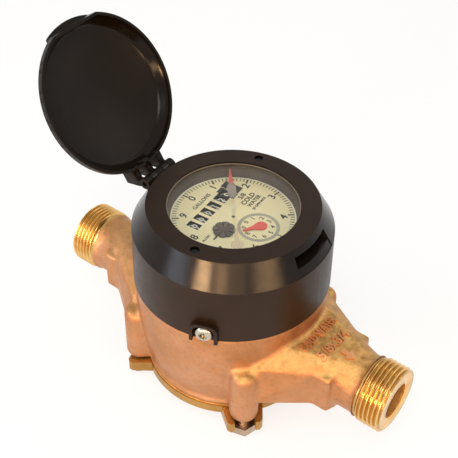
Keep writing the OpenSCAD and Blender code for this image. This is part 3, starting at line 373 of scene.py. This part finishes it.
def shroud_base(s):
    """Brown skirt and ring, near black bevel; the spanner holes painted near black as shade."""
    brown = s.mix(on_bevel(s), (0.0165, 0.0072, 0.0018), (0.0070, 0.0048, 0.0040))
    ring_band = between(s, s.from_axis((0, 0, 0), (0, 0, 1)), 30, 45, (0.2, 0.22, 0.6, 0.62))
    # painted shade: in the spanner holes, more than half a millimetre below the ring's top, the
    # plastic is painted near black
    hole_shade = s.span(s.height(), 1.0, 0.0, (BEVEL[1] - 0.5) * MM, (BEVEL[1] - 0.2) * MM)
    return s.mix(s.times(ring_band, hole_shade), brown, (0.0015, 0.0012, 0.001))


def shroud_gloss(s):
    """Satin skirt and ring, polished bevel."""
    return s.span(on_bevel(s), 0.38, 0.19)


def lid_base(s):
    return s.ramp(s.noise(25, 3), [
        (0.3, (0.0045, 0.0026, 0.0008)), (0.7, (0.0075, 0.0044, 0.0014))])


def lid_gloss(s):
    """Satin floor and polished slope of the lid."""
    r = s.from_axis(lid_place.translation * MM, lid_place.col[2].xyz)
    slope = between(s, r, LID_FLOOR - 1, LID_RADIUS + 1, (0.10, 0.18, 0.84, 0.88))
    return s.span(slope, 0.46, 0.17)


def rubber(name, colour):
    s = Shader(name, colour, 0.7)
    light = tuple(c * 1.6 + 0.004 for c in colour)
    s.colour(s.ramp(s.noise(200, 3), [(0.35, colour), (0.7, light)]))
    return s.bump((s.noise(1800, 3), 0.2, 0.0003)).mat


def clear(name, colour):
    """Clear glass with a trace of haze."""
    s = Shader(name, colour, 0.02, Transmission_Weight=1.0, IOR=1.3)
    s.rough(s.span(s.noise(40, 3), 0.0, 0.03, 0.4, 0.7))
    return s.mat


def hand_plastic():
    """Clear hand with a red tip, a smoky paddle and a pale counterweight."""
    s = Shader("hand_plastic", (0.72, 0.10, 0.08), 0.35)
    a = math.radians(HAND_ANGLE + TURN)
    place = s.span(s.along((math.cos(a), math.sin(a), 0)), 0.0, 1.0, -0.03, 0.03)
    # Stops lie along the hand, in millimetres from the dial's centre toward the tip
    tones = [(-29, (0.80, 0.56, 0.40)), (-14, (0.78, 0.62, 0.44)), (7.2, (0.70, 0.64, 0.48)),
             (8.2, (0.44, 0.37, 0.32)), (17.9, (0.44, 0.37, 0.32)), (18.3, (0.76, 0.13, 0.09))]
    cover = [(-29, 0.30), (-14.5, 0.30), (-14, 0.04), (7.2, 0.04), (8.2, 0.48), (17.9, 0.48),
             (18.3, 0.78)]
    s.colour(s.ramp(place, [((x + 30) / 60, c) for x, c in tones]))
    alpha = s.ramp(place, [((x + 30) / 60, (v, v, v)) for x, v in cover])
    s.link(alpha, s.bsdf.inputs["Alpha"])
    return s.bump((s.noise(900, 2), 0.05, 0.0002)).mat


MATERIALS = {
    "bronze": bronze(),
    # raised letters: the same bronze painted half again lighter, a painted highlight, with no
    # painted top reflection and no painted shade
    "mark": bronze("bronze_mark", 0.0, 0.0, 1.5),
    "thread": thread_brass(),
    "plate": plate_brass(),
    "bolt": machined("bolt_metal", (0.52, 0.39, 0.28), 0.3, (0.1, 0.1, 1.0)),
    "steel": machined("steel", (0.60, 0.55, 0.44), 0.2, (0.2, 0.2, 1.0)),
    "pin": machined("pin_steel", (0.10, 0.09, 0.085), 0.4, (0.2, 0.2, 1.0)),
    "magnet": machined("magnet", (0.22, 0.21, 0.23), 0.45, (1, 1, 0.2)),
    "movement": machined("movement_brass", (0.70, 0.54, 0.26), 0.3, (1, 1, 0.1)),
    "can": machined("can_brass", (0.56, 0.40, 0.20), 0.3, (0.1, 0.1, 1.0)),
    "rubber": rubber("rubber", (0.012, 0.012, 0.012)),
    "fibre": rubber("gasket_fibre", (0.44, 0.240, 0.070)),
    "disc": rubber("disc_rubber", (0.02, 0.02, 0.022)),
    "chamber": plastic("chamber_plastic", (0.70, 0.67, 0.58), 0.45),
    "shroud": moulded("shroud_plastic", shroud_base, shroud_gloss, 0.21),
    "lid": moulded("lid_plastic", lid_base, lid_gloss, 0.16),
    "dial": dial_cream(),
    "star_arbor": arbor_brass("star_arbor_brass", (0.09, 0.072, 0.052)),
    "pointer_arbor": arbor_brass("pointer_arbor_brass", (0.66, 0.10, 0.07)),
    "centre_arbor": arbor_brass("centre_arbor_brass", (0.86, 0.80, 0.58), 0.92),
    "wheel": plastic("wheel_black", (0.010, 0.009, 0.008), 0.45, 0.04),
    "star": star_plastic(),
    "bezel": plastic("bezel_grey", (0.068, 0.047, 0.030), 0.4, 0.03),
    # pale ring on the glass's rim, a painted highlight
    "seal": plastic("glass_rim_highlight", (0.17, 0.145, 0.11), 0.4, 0.03),
    "red": plastic("red", (0.74, 0.11, 0.08), 0.38, 0.03),
    "hand": hand_plastic(),
    "ink": plastic("ink_black", (0.030, 0.026, 0.020), 0.6, 0.03),
    "ink_white": plastic("ink_white", (0.78, 0.75, 0.66), 0.55, 0.03),
    "ink_grey": plastic("ink_grey", (0.40, 0.37, 0.28), 0.6, 0.03),
    "glass": clear("glass", (0.97, 0.99, 0.98)),
}

MATERIAL_OF = {
    "main_case": "bronze", "bottom_plate": "plate", "plate_gasket": "fibre", "plate_bolts": "bolt",
    "chamber_base": "chamber", "chamber_top": "chamber", "partition_plate": "steel",
    "strainer": "steel", "outlet_seal": "rubber", "nutating_disc": "disc",
    "disc_driver": "chamber", "drive_magnet": "magnet", "register_can": "can",
    "follower_magnet": "magnet", "movement_base": "movement", "movement_bridge": "movement",
    "star_arbor": "star_arbor", "second_arbor": "movement", "pointer_arbor": "pointer_arbor",
    "idler_arbor": "movement", "centre_arbor": "centre_arbor", "number_shaft": "steel",
    "dial_plate": "dial", "leak_star": "star", "dial_pointer": "red", "sweep_hand": "hand",
    "bezel_ring": "bezel", "window_glass": "glass", "shroud": "shroud", "seal_screw": "steel",
    "hinge_pin": "pin", "lid": "lid",
    **{f"number_wheel_{i}": "wheel" for i in range(1, 7)},
}
for node_name, node_obj in nodes.items():
    node_obj.data.materials.clear()
    node_obj.data.materials.append(MATERIALS[MATERIAL_OF[node_name]])


# Mesh helpers

def add_mesh(name, mesh, mat, body, smooth=None):
    """Piece that rides a body, shaded smooth up to that angle."""
    obj = bpy.data.objects.new(name, mesh)
    scene.collection.objects.link(obj)
    mesh.materials.clear()
    mesh.materials.append(MATERIALS[mat])
    if smooth is not None:
        mesh.shade_smooth()
        mesh.set_sharp_from_angle(angle=math.radians(smooth))
    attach(obj, body)
    return obj


def applied(obj):
    """Mesh of an object with its modifiers applied."""
    graph = bpy.context.evaluated_depsgraph_get()
    return bpy.data.meshes.new_from_object(obj.evaluated_get(graph), depsgraph=graph)


def to_mesh(bm, name):
    mesh = bpy.data.meshes.new(name)
    bm.to_mesh(mesh)
    bm.free()
    return mesh


def round_points(steps):
    """Cosine and sine of each step round a circle."""
    angles = [2 * math.pi * i / steps for i in range(steps)]
    return [(math.cos(a), math.sin(a)) for a in angles]


def grid_mesh(name, rows):
    """Closed mesh over rows of points, each row and the rows themselves joined end to end."""
    bm = bmesh.new()
    verts = [[bm.verts.new(p) for p in row] for row in rows]
    n, m = len(verts), len(verts[0])
    for j in range(n):
        a, b = verts[j], verts[(j + 1) % n]
        for i in range(m):
            bm.faces.new((a[i], a[(i + 1) % m], b[(i + 1) % m], b[i]))
    bmesh.ops.recalc_face_normals(bm, faces=bm.faces)
    return to_mesh(bm, name)


def text_mesh(body, size, depth, matrix, weight=0.0):
    """Solid lettering of that size, depth and added stroke, placed by matrix."""
    curve = bpy.data.curves.new("text", "FONT")
    curve.body = body
    curve.size = size
    curve.extrude = depth / 2
    curve.offset = weight
    curve.align_x = "CENTER"
    curve.align_y = "CENTER"
    curve.resolution_u = 3
    obj = bpy.data.objects.new("text", curve)
    scene.collection.objects.link(obj)
    bpy.context.view_layer.update()
    mesh = applied(obj)
    bpy.data.objects.remove(obj)
    mesh.transform(Matrix.Scale(MM, 4) @ matrix)
    return mesh


def quad_mesh(points, depth):
    """Thin flat plate over a convex outline."""
    bm = bmesh.new()
    low = [bm.verts.new(Vector(p) * MM) for p in points]
    high = [bm.verts.new((Vector(p) + Vector((0, 0, depth))) * MM) for p in points]
    bm.faces.new(low[::-1])
    bm.faces.new(high)
    n = len(points)
    for i in range(n):
        bm.faces.new((low[i], low[(i + 1) % n], high[(i + 1) % n], high[i]))
    return to_mesh(bm, "quad")


def joined(name, meshes, mat, body, smooth=None):
    bm = bmesh.new()
    for m in meshes:
        bm.from_mesh(m)
        bpy.data.meshes.remove(m)
    return add_mesh(name, to_mesh(bm, name), mat, body, smooth)


# Cast case

def casting():
    """The case with the soft fillets of a sand casting; the machined ends are separate."""
    work = bpy.data.objects.new("work", nodes["main_case"].data.copy())
    scene.collection.objects.link(work)
    weld = work.modifiers.new("weld", "WELD")
    weld.merge_threshold = 0.01 * MM

    def remesh():
        mod = work.modifiers.new("remesh", "REMESH")
        mod.mode = "VOXEL"
        mod.voxel_size = VOXEL * MM

    def grow(distance):
        mod = work.modifiers.new("grow", "DISPLACE")
        mod.strength = distance * MM
        mod.mid_level = 0.0

    remesh()
    grow(CASTING_FILLET)
    remesh()
    grow(-CASTING_FILLET)
    remesh()
    soft = work.modifiers.new("soft", "SMOOTH")
    soft.factor = 0.5
    soft.iterations = 4
    bpy.context.view_layer.update()
    mesh = applied(work)
    bpy.data.objects.remove(work)
    bm = bmesh.new()
    bm.from_mesh(mesh)
    for side in (-1, 1):
        cut = bmesh.ops.bisect_plane(
            bm, geom=bm.verts[:] + bm.edges[:] + bm.faces[:],
            plane_co=(side * NECK_CUT * MM, 0, 0), plane_no=(side, 0, 0), clear_outer=True)
        edges = [e for e in cut["geom_cut"] if isinstance(e, bmesh.types.BMEdge)]
        bmesh.ops.triangle_fill(bm, edges=edges, use_beauty=True)
    bmesh.ops.recalc_face_normals(bm, faces=bm.faces)
    bm.to_mesh(mesh)
    bm.free()
    mesh.name = "case_casting"
    return add_mesh("case_casting", mesh, "bronze", "case", 60)


def thread_end(side):
    """Machined pipe end with a real screw thread, its mouth and the start of the bore."""
    steps = 96
    step_along = 0.13
    neck_taper = 2.2
    first_turn = THREAD_START + 0.4
    run_in = 1.6
    root_share, flank_share = 0.14, 0.66
    chamfer = 0.85
    mouth_radius = 13.2

    def outer(x, a):
        if x < THREAD_START:
            t = max(0.0, (x - THREAD_START + neck_taper) / neck_taper)
            return NECK + (THREAD_ROOT - NECK) * t
        phase = ((x - first_turn) / THREAD_PITCH - side * a / (2 * math.pi)) % 1.0
        rise = abs(phase - 0.5) * 2
        height = min(1.0, max(0.0, (rise - root_share) / flank_share))
        start = min(1.0, max(0.0, (x - first_turn) / run_in))
        r = THREAD_ROOT + (THREAD_CREST - THREAD_ROOT) * height * start
        mouth = END - x
        return min(r, THREAD_CREST - chamfer + mouth) if mouth < chamfer else r

    count = math.ceil((END - THREAD_START) / step_along)
    stations = [NECK_CUT, NECK_CUT + 0.3] + [THREAD_START + step_along * i for i in range(count)]
    stations = [x for x in stations if x < END - 0.01] + [END]
    rows = [[(x, outer(x, 2 * math.pi * i / steps)) for i in range(steps)] for x in stations]
    for x, r in ((END, mouth_radius), (END, BORE + 0.6), (END - 0.5, BORE), (END - 6, BORE),
                 (NECK_CUT, BORE)):
        rows.append([(x, r)] * steps)
    points = [[Vector((side * x, r * c, AXIS + r * s)) * MM
               for (x, r), (c, s) in zip(row, round_points(steps))] for row in rows]
    name = f"thread_{'outlet' if side > 0 else 'inlet'}"
    return add_mesh(name, grid_mesh("thread", points), "thread", "case", 40)


def wing_marks(case):
    """Raised lettering and flow arrow on the outlet wing, read from the outlet end."""
    tree = BVHTree.FromObject(case, bpy.context.evaluated_depsgraph_get())
    sunk = -0.8

    def on_wing(x, y, turn, narrow):
        return (Matrix.Translation((x, y, 0)) @ Matrix.Rotation(math.radians(turn), 4, "Z")
                @ Matrix.Diagonal((narrow, 1, 1, 1)))

    def draped(mesh):
        """Lay a flat mark drawn about z = 0 on the casting."""
        for v in mesh.vertices:
            hit = tree.ray_cast(Vector((v.co.x, v.co.y, 0.2)), Vector((0, 0, -1)))[0]
            v.co.z = hit.z + (MARK_RISE if v.co.z > 0 else sunk) * MM
        return mesh

    marks = [text_mesh("COLD WATER", 6.4, 1.0, on_wing(51.5, -0.9, 89, 0.62), 0.12),
             text_mesh("5/8x3/4", 6.9, 1.0, on_wing(60.6, -1.9, 87, 1.0), 0.12)]
    shaft = [(65.2, -1.2), (69.0, -1.2), (69.0, 1.2), (65.2, 1.2)]
    head = [(68.9, -3.2), (73.0, 0), (68.9, 3.2)]
    for outline in (shaft, head):
        marks.append(quad_mesh([(x, y - 2.2, -0.5) for x, y in outline], 1.0))
    return joined("wing_marks", [draped(m) for m in marks], "mark", "case", 30)


# Dial

def on_dial(x, y, lift=0.03):
    """Place for upright lettering on the dial face; the dial's top lies toward -x."""
    return (turned @ Matrix.Translation((x, y, DIAL + lift))
            @ Matrix.Rotation(math.radians(90), 4, "Z"))


def ring(inner, outer, centre, z, depth):
    """Flat ring in the dial's frame."""
    circle = round_points(128)
    rows = [[turned @ Vector((centre[0] + r * c, centre[1] + r * s, z + h)) * MM for c, s in circle]
            for r, h in ((inner, 0), (outer, 0), (outer, depth), (inner, depth))]
    return grid_mesh("ring", rows)


def printed(corners):
    """Flat printed patch over corners on the dial."""
    return quad_mesh([turned @ Vector((x, y, DIAL + INK_LIFT)) for x, y in corners], BAR_INK)


def bar(x0, y0, x1, y1):
    return printed([(x0, y0), (x1, y0), (x1, y1), (x0, y1)])


def ticks():
    """A hundred ticks round the dial, each tenth one longer and wider."""
    tick_end = 28.4
    meshes = []
    for i in range(100):
        a = math.radians(180 - 3.6 * i)
        start, half = (25.3, 0.40) if i % 10 == 0 else (26.4, 0.20)
        across = Vector((-math.sin(a), math.cos(a))) * half
        along = Vector((math.cos(a), math.sin(a)))
        meshes.append(printed([along * start - across, along * tick_end - across,
                               along * tick_end + across, along * start + across]))
    return meshes


def numerals():
    """Numerals of the large dial, set off the ticks as in print, and of the small one."""
    turns = (0, 32.6, 72.4, 109.5, 148, 180, 212, 250.5, 287.6, 327.4)
    meshes = []
    for n, turn in enumerate(turns):
        a = math.radians(180 - turn)
        # the small dial leaves the 5 little room
        reach, size = (24.5, 2.6) if n == 5 else (23.1, 5.4)
        large = on_dial(reach * math.cos(a), 0.4 + reach * math.sin(a))
        meshes.append(text_mesh(str(n), size, INK, large, 0.10 * size / 5.5))
        a = math.radians(180 - 36 * n)
        small = on_dial(POINTER[0] + 6.6 * math.cos(a), POINTER[1] + 6.6 * math.sin(a))
        meshes.append(text_mesh(str(n), 3.3, INK, small, 0.03))
    return meshes


def dial_print():
    """Black, grey and white print of the dial, and a pale ring round the window that paints the
    highlight on the glass's rim.
    """
    black = ticks() + numerals()
    black.append(text_mesh("GALLONS", 3.0, INK, on_dial(-18.2, 1.0), 0.05))
    for word, size, x, y in (("5/8", 3.4, -4.4, 14.8), ("COLD", 3.6, -1.0, 14.8),
                             ("WATER", 2.9, 2.2, 15.0), ("20 GPM MAX", 1.9, 5.0, 14.8),
                             ("FLOW", 1.8, -2.1, -19.4)):
        black.append(text_mesh(word, size, INK, on_dial(x, y), 0.03 * size))
    black.append(bar(0.6, -18.2, 1.5, -15.2))
    # frame of the last window and the block of the fixed nought beside it
    low, high = -NUMBER_REACH - WINDOW_HALF, -NUMBER_REACH + WINDOW_HALF
    black += [bar(low - 1.4, 10.8, low, 15.0), bar(high, 10.8, high + 1.7, 15.0),
              bar(low, 14.35, high, 15.0), bar(low - 2.0, 15.4, high + 1.3, 20.2)]
    joined("dial_print", black, "ink", "case")
    grey = [ring(8.2, 9.8, POINTER, DIAL + INK_LIFT, INK)]
    joined("dial_ring_print", grey, "ink_grey", "case")
    white = [ring(28.7, DIAL_RADIUS - 0.02, (0, 0), DIAL + INK_LIFT, INK),
             text_mesh("0", 5.8, INK, on_dial(-NUMBER_REACH, 17.8, 0.08), 0.08)]
    joined("dial_white_print", white, "ink_white", "case")
    # painted highlight: a pale ring on the rim of the glass, where its edge catches the light
    seal = [ring(WINDOW_RADIUS - 0.45, WINDOW_RADIUS - 0.02, (0, 0), GLASS_TOP + 0.02, 0.35)]
    joined("glass_rim_highlight", seal, "seal", "case", 40)


def wheel_digits(index, shown):
    """Ten digits round a number wheel, one of them shown in its window."""
    digits = []
    for k in range(10):
        place = (turned @ Matrix.Translation((-NUMBER_REACH, NUMBER_POS[index] + 0.7, NUMBER_Z))
                 @ Matrix.Rotation(math.radians(36 * (k - shown)), 4, "Y")
                 @ Matrix.Translation((0, 0, NUMBER_RADIUS + 0.03))
                 @ Matrix.Rotation(math.radians(90), 4, "Z") @ Matrix.Diagonal((1.2, 1, 1, 1)))
        digits.append(text_mesh(str(k), 3.6, INK, place, 0.09))
    return joined(f"digits_{index + 1}", digits, "ink_white", f"wheel_{index + 1}")


# Screw, star, pointer and lid

def screw_rim():
    """Rounded rim of the seal screw's button head."""
    heights = [v.co.z for v in nodes["seal_screw"].data.vertices]
    middle = (min(heights) + max(heights)) / 2 / MM
    place = (Matrix.Rotation(math.radians(SCREW_ANGLE), 4, "Z")
             @ Matrix.Translation((SKIRT_RADIUS, 0, middle))
             @ Matrix.Rotation(math.radians(90), 4, "Y"))
    section = ((SCREW_HEAD, 0.2), (SCREW_HEAD, 0.75), (4.25, 1.45), (3.75, 2.10), (3.05, 2.60),
               (2.25, 2.90), (1.95, 2.85), (1.78, 2.55), (1.75, 1.60), (1.75, 0.2))
    circle = round_points(64)
    rows = [[place @ Vector((r * c, r * s, z)) * MM for c, s in circle] for r, z in section]
    return add_mesh("screw_rim", grid_mesh("screw_rim", rows), "steel", "case", 30)


def flat_piece(outline, centre, groove=0.0):
    """Thin moulded piece over (x, y, notch) points, its edge softened and its notches grooved."""
    edge = 0.34
    # share of the outline and height of each row
    section = ((1.0, 0.0), (1.0, edge), (0.96, 0.46), (0.88, 0.5), (0.3, 0.5), (0.1, 0.5),
               (0.1, 0.0))
    rows = []
    for shrink, h in section:
        drop = groove if h > edge and shrink > 0.2 else 0.0
        rows.append([turned @ Vector((centre[0] + x * shrink, centre[1] + y * shrink,
                                      POINTER_Z + h - drop * notch)) * MM
                     for x, y, notch in outline])
    return grid_mesh("flat", rows)


def leak_wheel():
    """Flow star, a round wheel with eight grooves."""
    radius, notch_depth, groove = 5.25, 0.6, 0.4
    steps, step_per_lobe, notch_half = 192, 24, 4.0
    half_lobe = step_per_lobe // 2
    outline = []
    for i, (c, s) in enumerate(round_points(steps)):
        from_notch = abs((i + half_lobe) % step_per_lobe - half_lobe)
        notch = max(0.0, 1 - from_notch / notch_half)
        r = radius - notch_depth * notch
        outline.append((r * c, r * s, notch))
    return add_mesh("leak_wheel", flat_piece(outline, STAR, groove), "star", "star", 30)


def red_pointer():
    """Slim pointer of the small dial with a round tail."""
    radius, back = 2.75, -1.3
    bends = [math.radians(60 + 240 * i / 40) for i in range(41)]
    tail = [(back + radius * math.cos(t), radius * math.sin(t)) for t in bends]
    blade = [(1.6, 1.75), (2.8, 1.15), (4.6, 0.8), (7.7, 0.45)]
    tip = [(x, -y) for x, y in blade] + [(8.0, 0)] + blade[::-1]
    c, s = math.cos(math.radians(POINTER_ANGLE)), math.sin(math.radians(POINTER_ANGLE))
    outline = [(x * c - y * s, x * s + y * c, 0) for x, y in tail + tip]
    return add_mesh("red_pointer", flat_piece(outline, POINTER), "red", "pointer", 30)


def lid_cutter(side):
    """Body that cones one half of the lid's back, between the thumb tab and the hinge."""
    first, last, steps = 21.5, 163, 72
    section = [(LID_RADIUS + 0.6, LID_SEAT + 1.85), (LID_FLOOR + 1.6, LID_TOP - 0.5),
               (LID_FLOOR + 0.4, LID_TOP), (LID_FLOOR + 0.4, LID_TOP + 1),
               (LID_RADIUS + 0.6, LID_TOP + 1)]
    bm = bmesh.new()
    rows = []
    for i in range(steps + 1):
        t = math.radians(side * (first + (last - first) * i / steps))
        rows.append([bm.verts.new(lid_place @ Vector((r * math.cos(t), r * math.sin(t), z)) * MM)
                     for r, z in section])
    for a, b in zip(rows, rows[1:]):
        for i in range(len(section)):
            j = (i + 1) % len(section)
            bm.faces.new((a[i], a[j], b[j], b[i]))
    bm.faces.new(rows[0])
    bm.faces.new(rows[-1])
    bmesh.ops.recalc_face_normals(bm, faces=bm.faces)
    cutter = bpy.data.objects.new("cutter", to_mesh(bm, "cutter"))
    scene.collection.objects.link(cutter)
    return cutter


def lid_shell():
    """The lid with a coned back and a deeper floor, full round only at the thumb tab and hinge."""
    work = bpy.data.objects.new("lid_work", nodes["lid"].data.copy())
    scene.collection.objects.link(work)
    cutters = [lid_cutter(side) for side in (1, -1)]
    for cutter in cutters:
        cut = work.modifiers.new("cut", "BOOLEAN")
        cut.operation = "DIFFERENCE"
        cut.solver = "EXACT"
        cut.object = cutter
    bpy.context.view_layer.update()
    mesh = applied(work)
    for obj in cutters + [work]:
        bpy.data.objects.remove(obj)
    # the rim stays, and the rest sinks over the height of the slope
    rim, slope = 0.5, 4.3
    back = lid_place.inverted()
    for v in mesh.vertices:
        p = back @ (v.co / MM)
        p.z += LID_DEEPER * min(1.0, max(0.0, (p.z - LID_SEAT - rim) / slope))
        v.co = lid_place @ p * MM
    return add_mesh("lid_shell", mesh, "lid", "lid", 30)


case = casting()
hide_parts("main_case")
for end in (1, -1):
    thread_end(end)
wing_marks(case)
dial_print()
for wheel, reading in enumerate([0, 0, 0, 1, 2, 0]):
    wheel_digits(wheel, reading)
screw_rim()
star = leak_wheel()
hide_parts("leak_star")
pointer = red_pointer()
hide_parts("dial_pointer")
lid = lid_shell()
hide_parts("lid")


# Stage: floor, world, lamps and camera

WORLD_LIGHT = 0.64
FLOOR_GLOW = 0.78
LAMP_AIM = (0, 0, 0.09)
# name, azimuth, elevation, distance and size in metres, power in watts, colour
LAMPS = [
    # low strips that draw the gold and blue streaks on the polished bevel
    ("streak_left", -83, 13, 0.95, (0.24, 0.11), 5.20, (1.0, 0.60, 0.30)),
    ("streak_middle", -65, 15, 0.95, (0.20, 0.10), 1.20, (1.0, 0.58, 0.28)),
    ("streak_right", -18, 13, 0.95, (0.52, 0.11), 2.20, (1.0, 0.60, 0.27)),
    ("streak_blue", -111, 9, 0.95, (0.46, 0.11), 0.85, (0.80, 0.86, 1.0)),
    # soft fill
    ("front", -50, 20, 0.95, (0.40, 0.40), 1.60, (1.0, 0.62, 0.32)),
    ("high", -63, 62, 0.95, (0.44, 0.44), 2.60, (1.0, 0.97, 0.88)),
    ("left", -135, 22, 0.90, (0.40, 0.40), 2.20, (0.95, 0.95, 1.0)),
    ("behind", 60, 40, 1.00, (0.50, 0.50), 1.20, (1.0, 0.92, 0.84)),
]
# camera fitted to the photo: view angles, lens, shift, and its place from the pipe axis
CAMERA_AZIMUTH = 36.81
CAMERA_ELEVATION = 41.55
CAMERA_ROLL = 0.98
CAMERA_LENS = 75.52
CAMERA_SHIFT = (0.0004, 0.0040)
CAMERA_PLACE = (-1.32, 39.11, 483.89)


def seen(tree):
    """One for rays that show the background, straight or in metal and glass."""
    path = tree.nodes.new("ShaderNodeLightPath")
    total = path.outputs["Is Camera Ray"]
    for name in ("Is Glossy Ray", "Is Transmission Ray"):
        node = tree.nodes.new("ShaderNodeMath")
        node.operation = "MAXIMUM"
        tree.links.new(total, node.inputs[0])
        tree.links.new(path.outputs[name], node.inputs[1])
        total = node.outputs[0]
    return total


def floor():
    """White floor that keeps the shadow."""
    bm = bmesh.new()
    bmesh.ops.create_grid(bm, x_segments=8, y_segments=8, size=3.0)
    mesh = to_mesh(bm, "floor")
    obj = bpy.data.objects.new("floor", mesh)
    scene.collection.objects.link(obj)
    s = Shader("floor", (0.95, 0.95, 0.95), 0.9)
    s.colour(s.ramp(s.noise(3, 2), [(0.2, (0.945, 0.945, 0.945)), (0.8, (0.955, 0.955, 0.955))]))
    glow = s.add("ShaderNodeEmission")
    blend = s.add("ShaderNodeMixShader")
    s.link(s.span(seen(s.tree), 0.0, FLOOR_GLOW), blend.inputs[0])
    s.link(s.bsdf.outputs[0], blend.inputs[1])
    s.link(glow.outputs[0], blend.inputs[2])
    s.link(blend.outputs[0], s.tree.nodes["Material Output"].inputs["Surface"])
    mesh.materials.append(s.mat)


def world():
    """Even light, with white behind the object."""
    studio = bpy.data.worlds.new("studio")
    scene.world = studio
    studio.use_nodes = True
    tree = studio.node_tree
    tree.nodes.clear()
    out = tree.nodes.new("ShaderNodeOutputWorld")
    light = tree.nodes.new("ShaderNodeBackground")
    light.inputs["Color"].default_value = (1, 0.98, 0.95, 1)
    light.inputs["Strength"].default_value = WORLD_LIGHT
    backdrop = tree.nodes.new("ShaderNodeBackground")
    backdrop.inputs["Strength"].default_value = 1.0
    mix = tree.nodes.new("ShaderNodeMixShader")
    tree.links.new(seen(tree), mix.inputs[0])
    tree.links.new(light.outputs[0], mix.inputs[1])
    tree.links.new(backdrop.outputs[0], mix.inputs[2])
    tree.links.new(mix.outputs[0], out.inputs[0])


def lamp(name, azimuth, elevation, distance, size, power, colour):
    data = bpy.data.lights.new(name, "AREA")
    data.shape = "ELLIPSE"
    data.size, data.size_y = size
    data.energy = power
    data.color = colour
    obj = bpy.data.objects.new(name, data)
    a, e = math.radians(azimuth), math.radians(elevation)
    away = Vector((math.cos(a) * math.cos(e), math.sin(a) * math.cos(e), math.sin(e)))
    obj.location = Vector(LAMP_AIM) + away * distance
    obj.rotation_mode = "QUATERNION"
    obj.rotation_quaternion = away.to_track_quat("Z", "Y")
    scene.collection.objects.link(obj)


def camera():
    data = bpy.data.cameras.new("camera")
    data.sensor_width = 36
    data.lens = CAMERA_LENS
    data.shift_x, data.shift_y = CAMERA_SHIFT
    data.clip_start = 0.01
    data.clip_end = 50
    obj = bpy.data.objects.new("camera", data)
    scene.collection.objects.link(obj)
    a, e, r = (math.radians(d) for d in (CAMERA_AZIMUTH, CAMERA_ELEVATION, CAMERA_ROLL))
    back = Vector((math.sin(a) * math.cos(e), -math.cos(a) * math.cos(e), math.sin(e)))
    level = Vector((math.cos(a), math.sin(a), 0))
    upright = back.cross(level)
    right = math.cos(r) * level + math.sin(r) * upright
    up = math.cos(r) * upright - math.sin(r) * level
    rotation = Matrix((right, up, back)).transposed()
    aside, above, away = CAMERA_PLACE
    centre = Vector((0, 0, AXIS)) + right * aside + up * above + back * away
    obj.matrix_world = Matrix.Translation(centre * MM) @ rotation.to_4x4()
    scene.camera = obj


floor()
world()
for row in LAMPS:
    lamp(*row)
camera()
scene.view_settings.view_transform = "Standard"
bpy.context.view_layer.update()
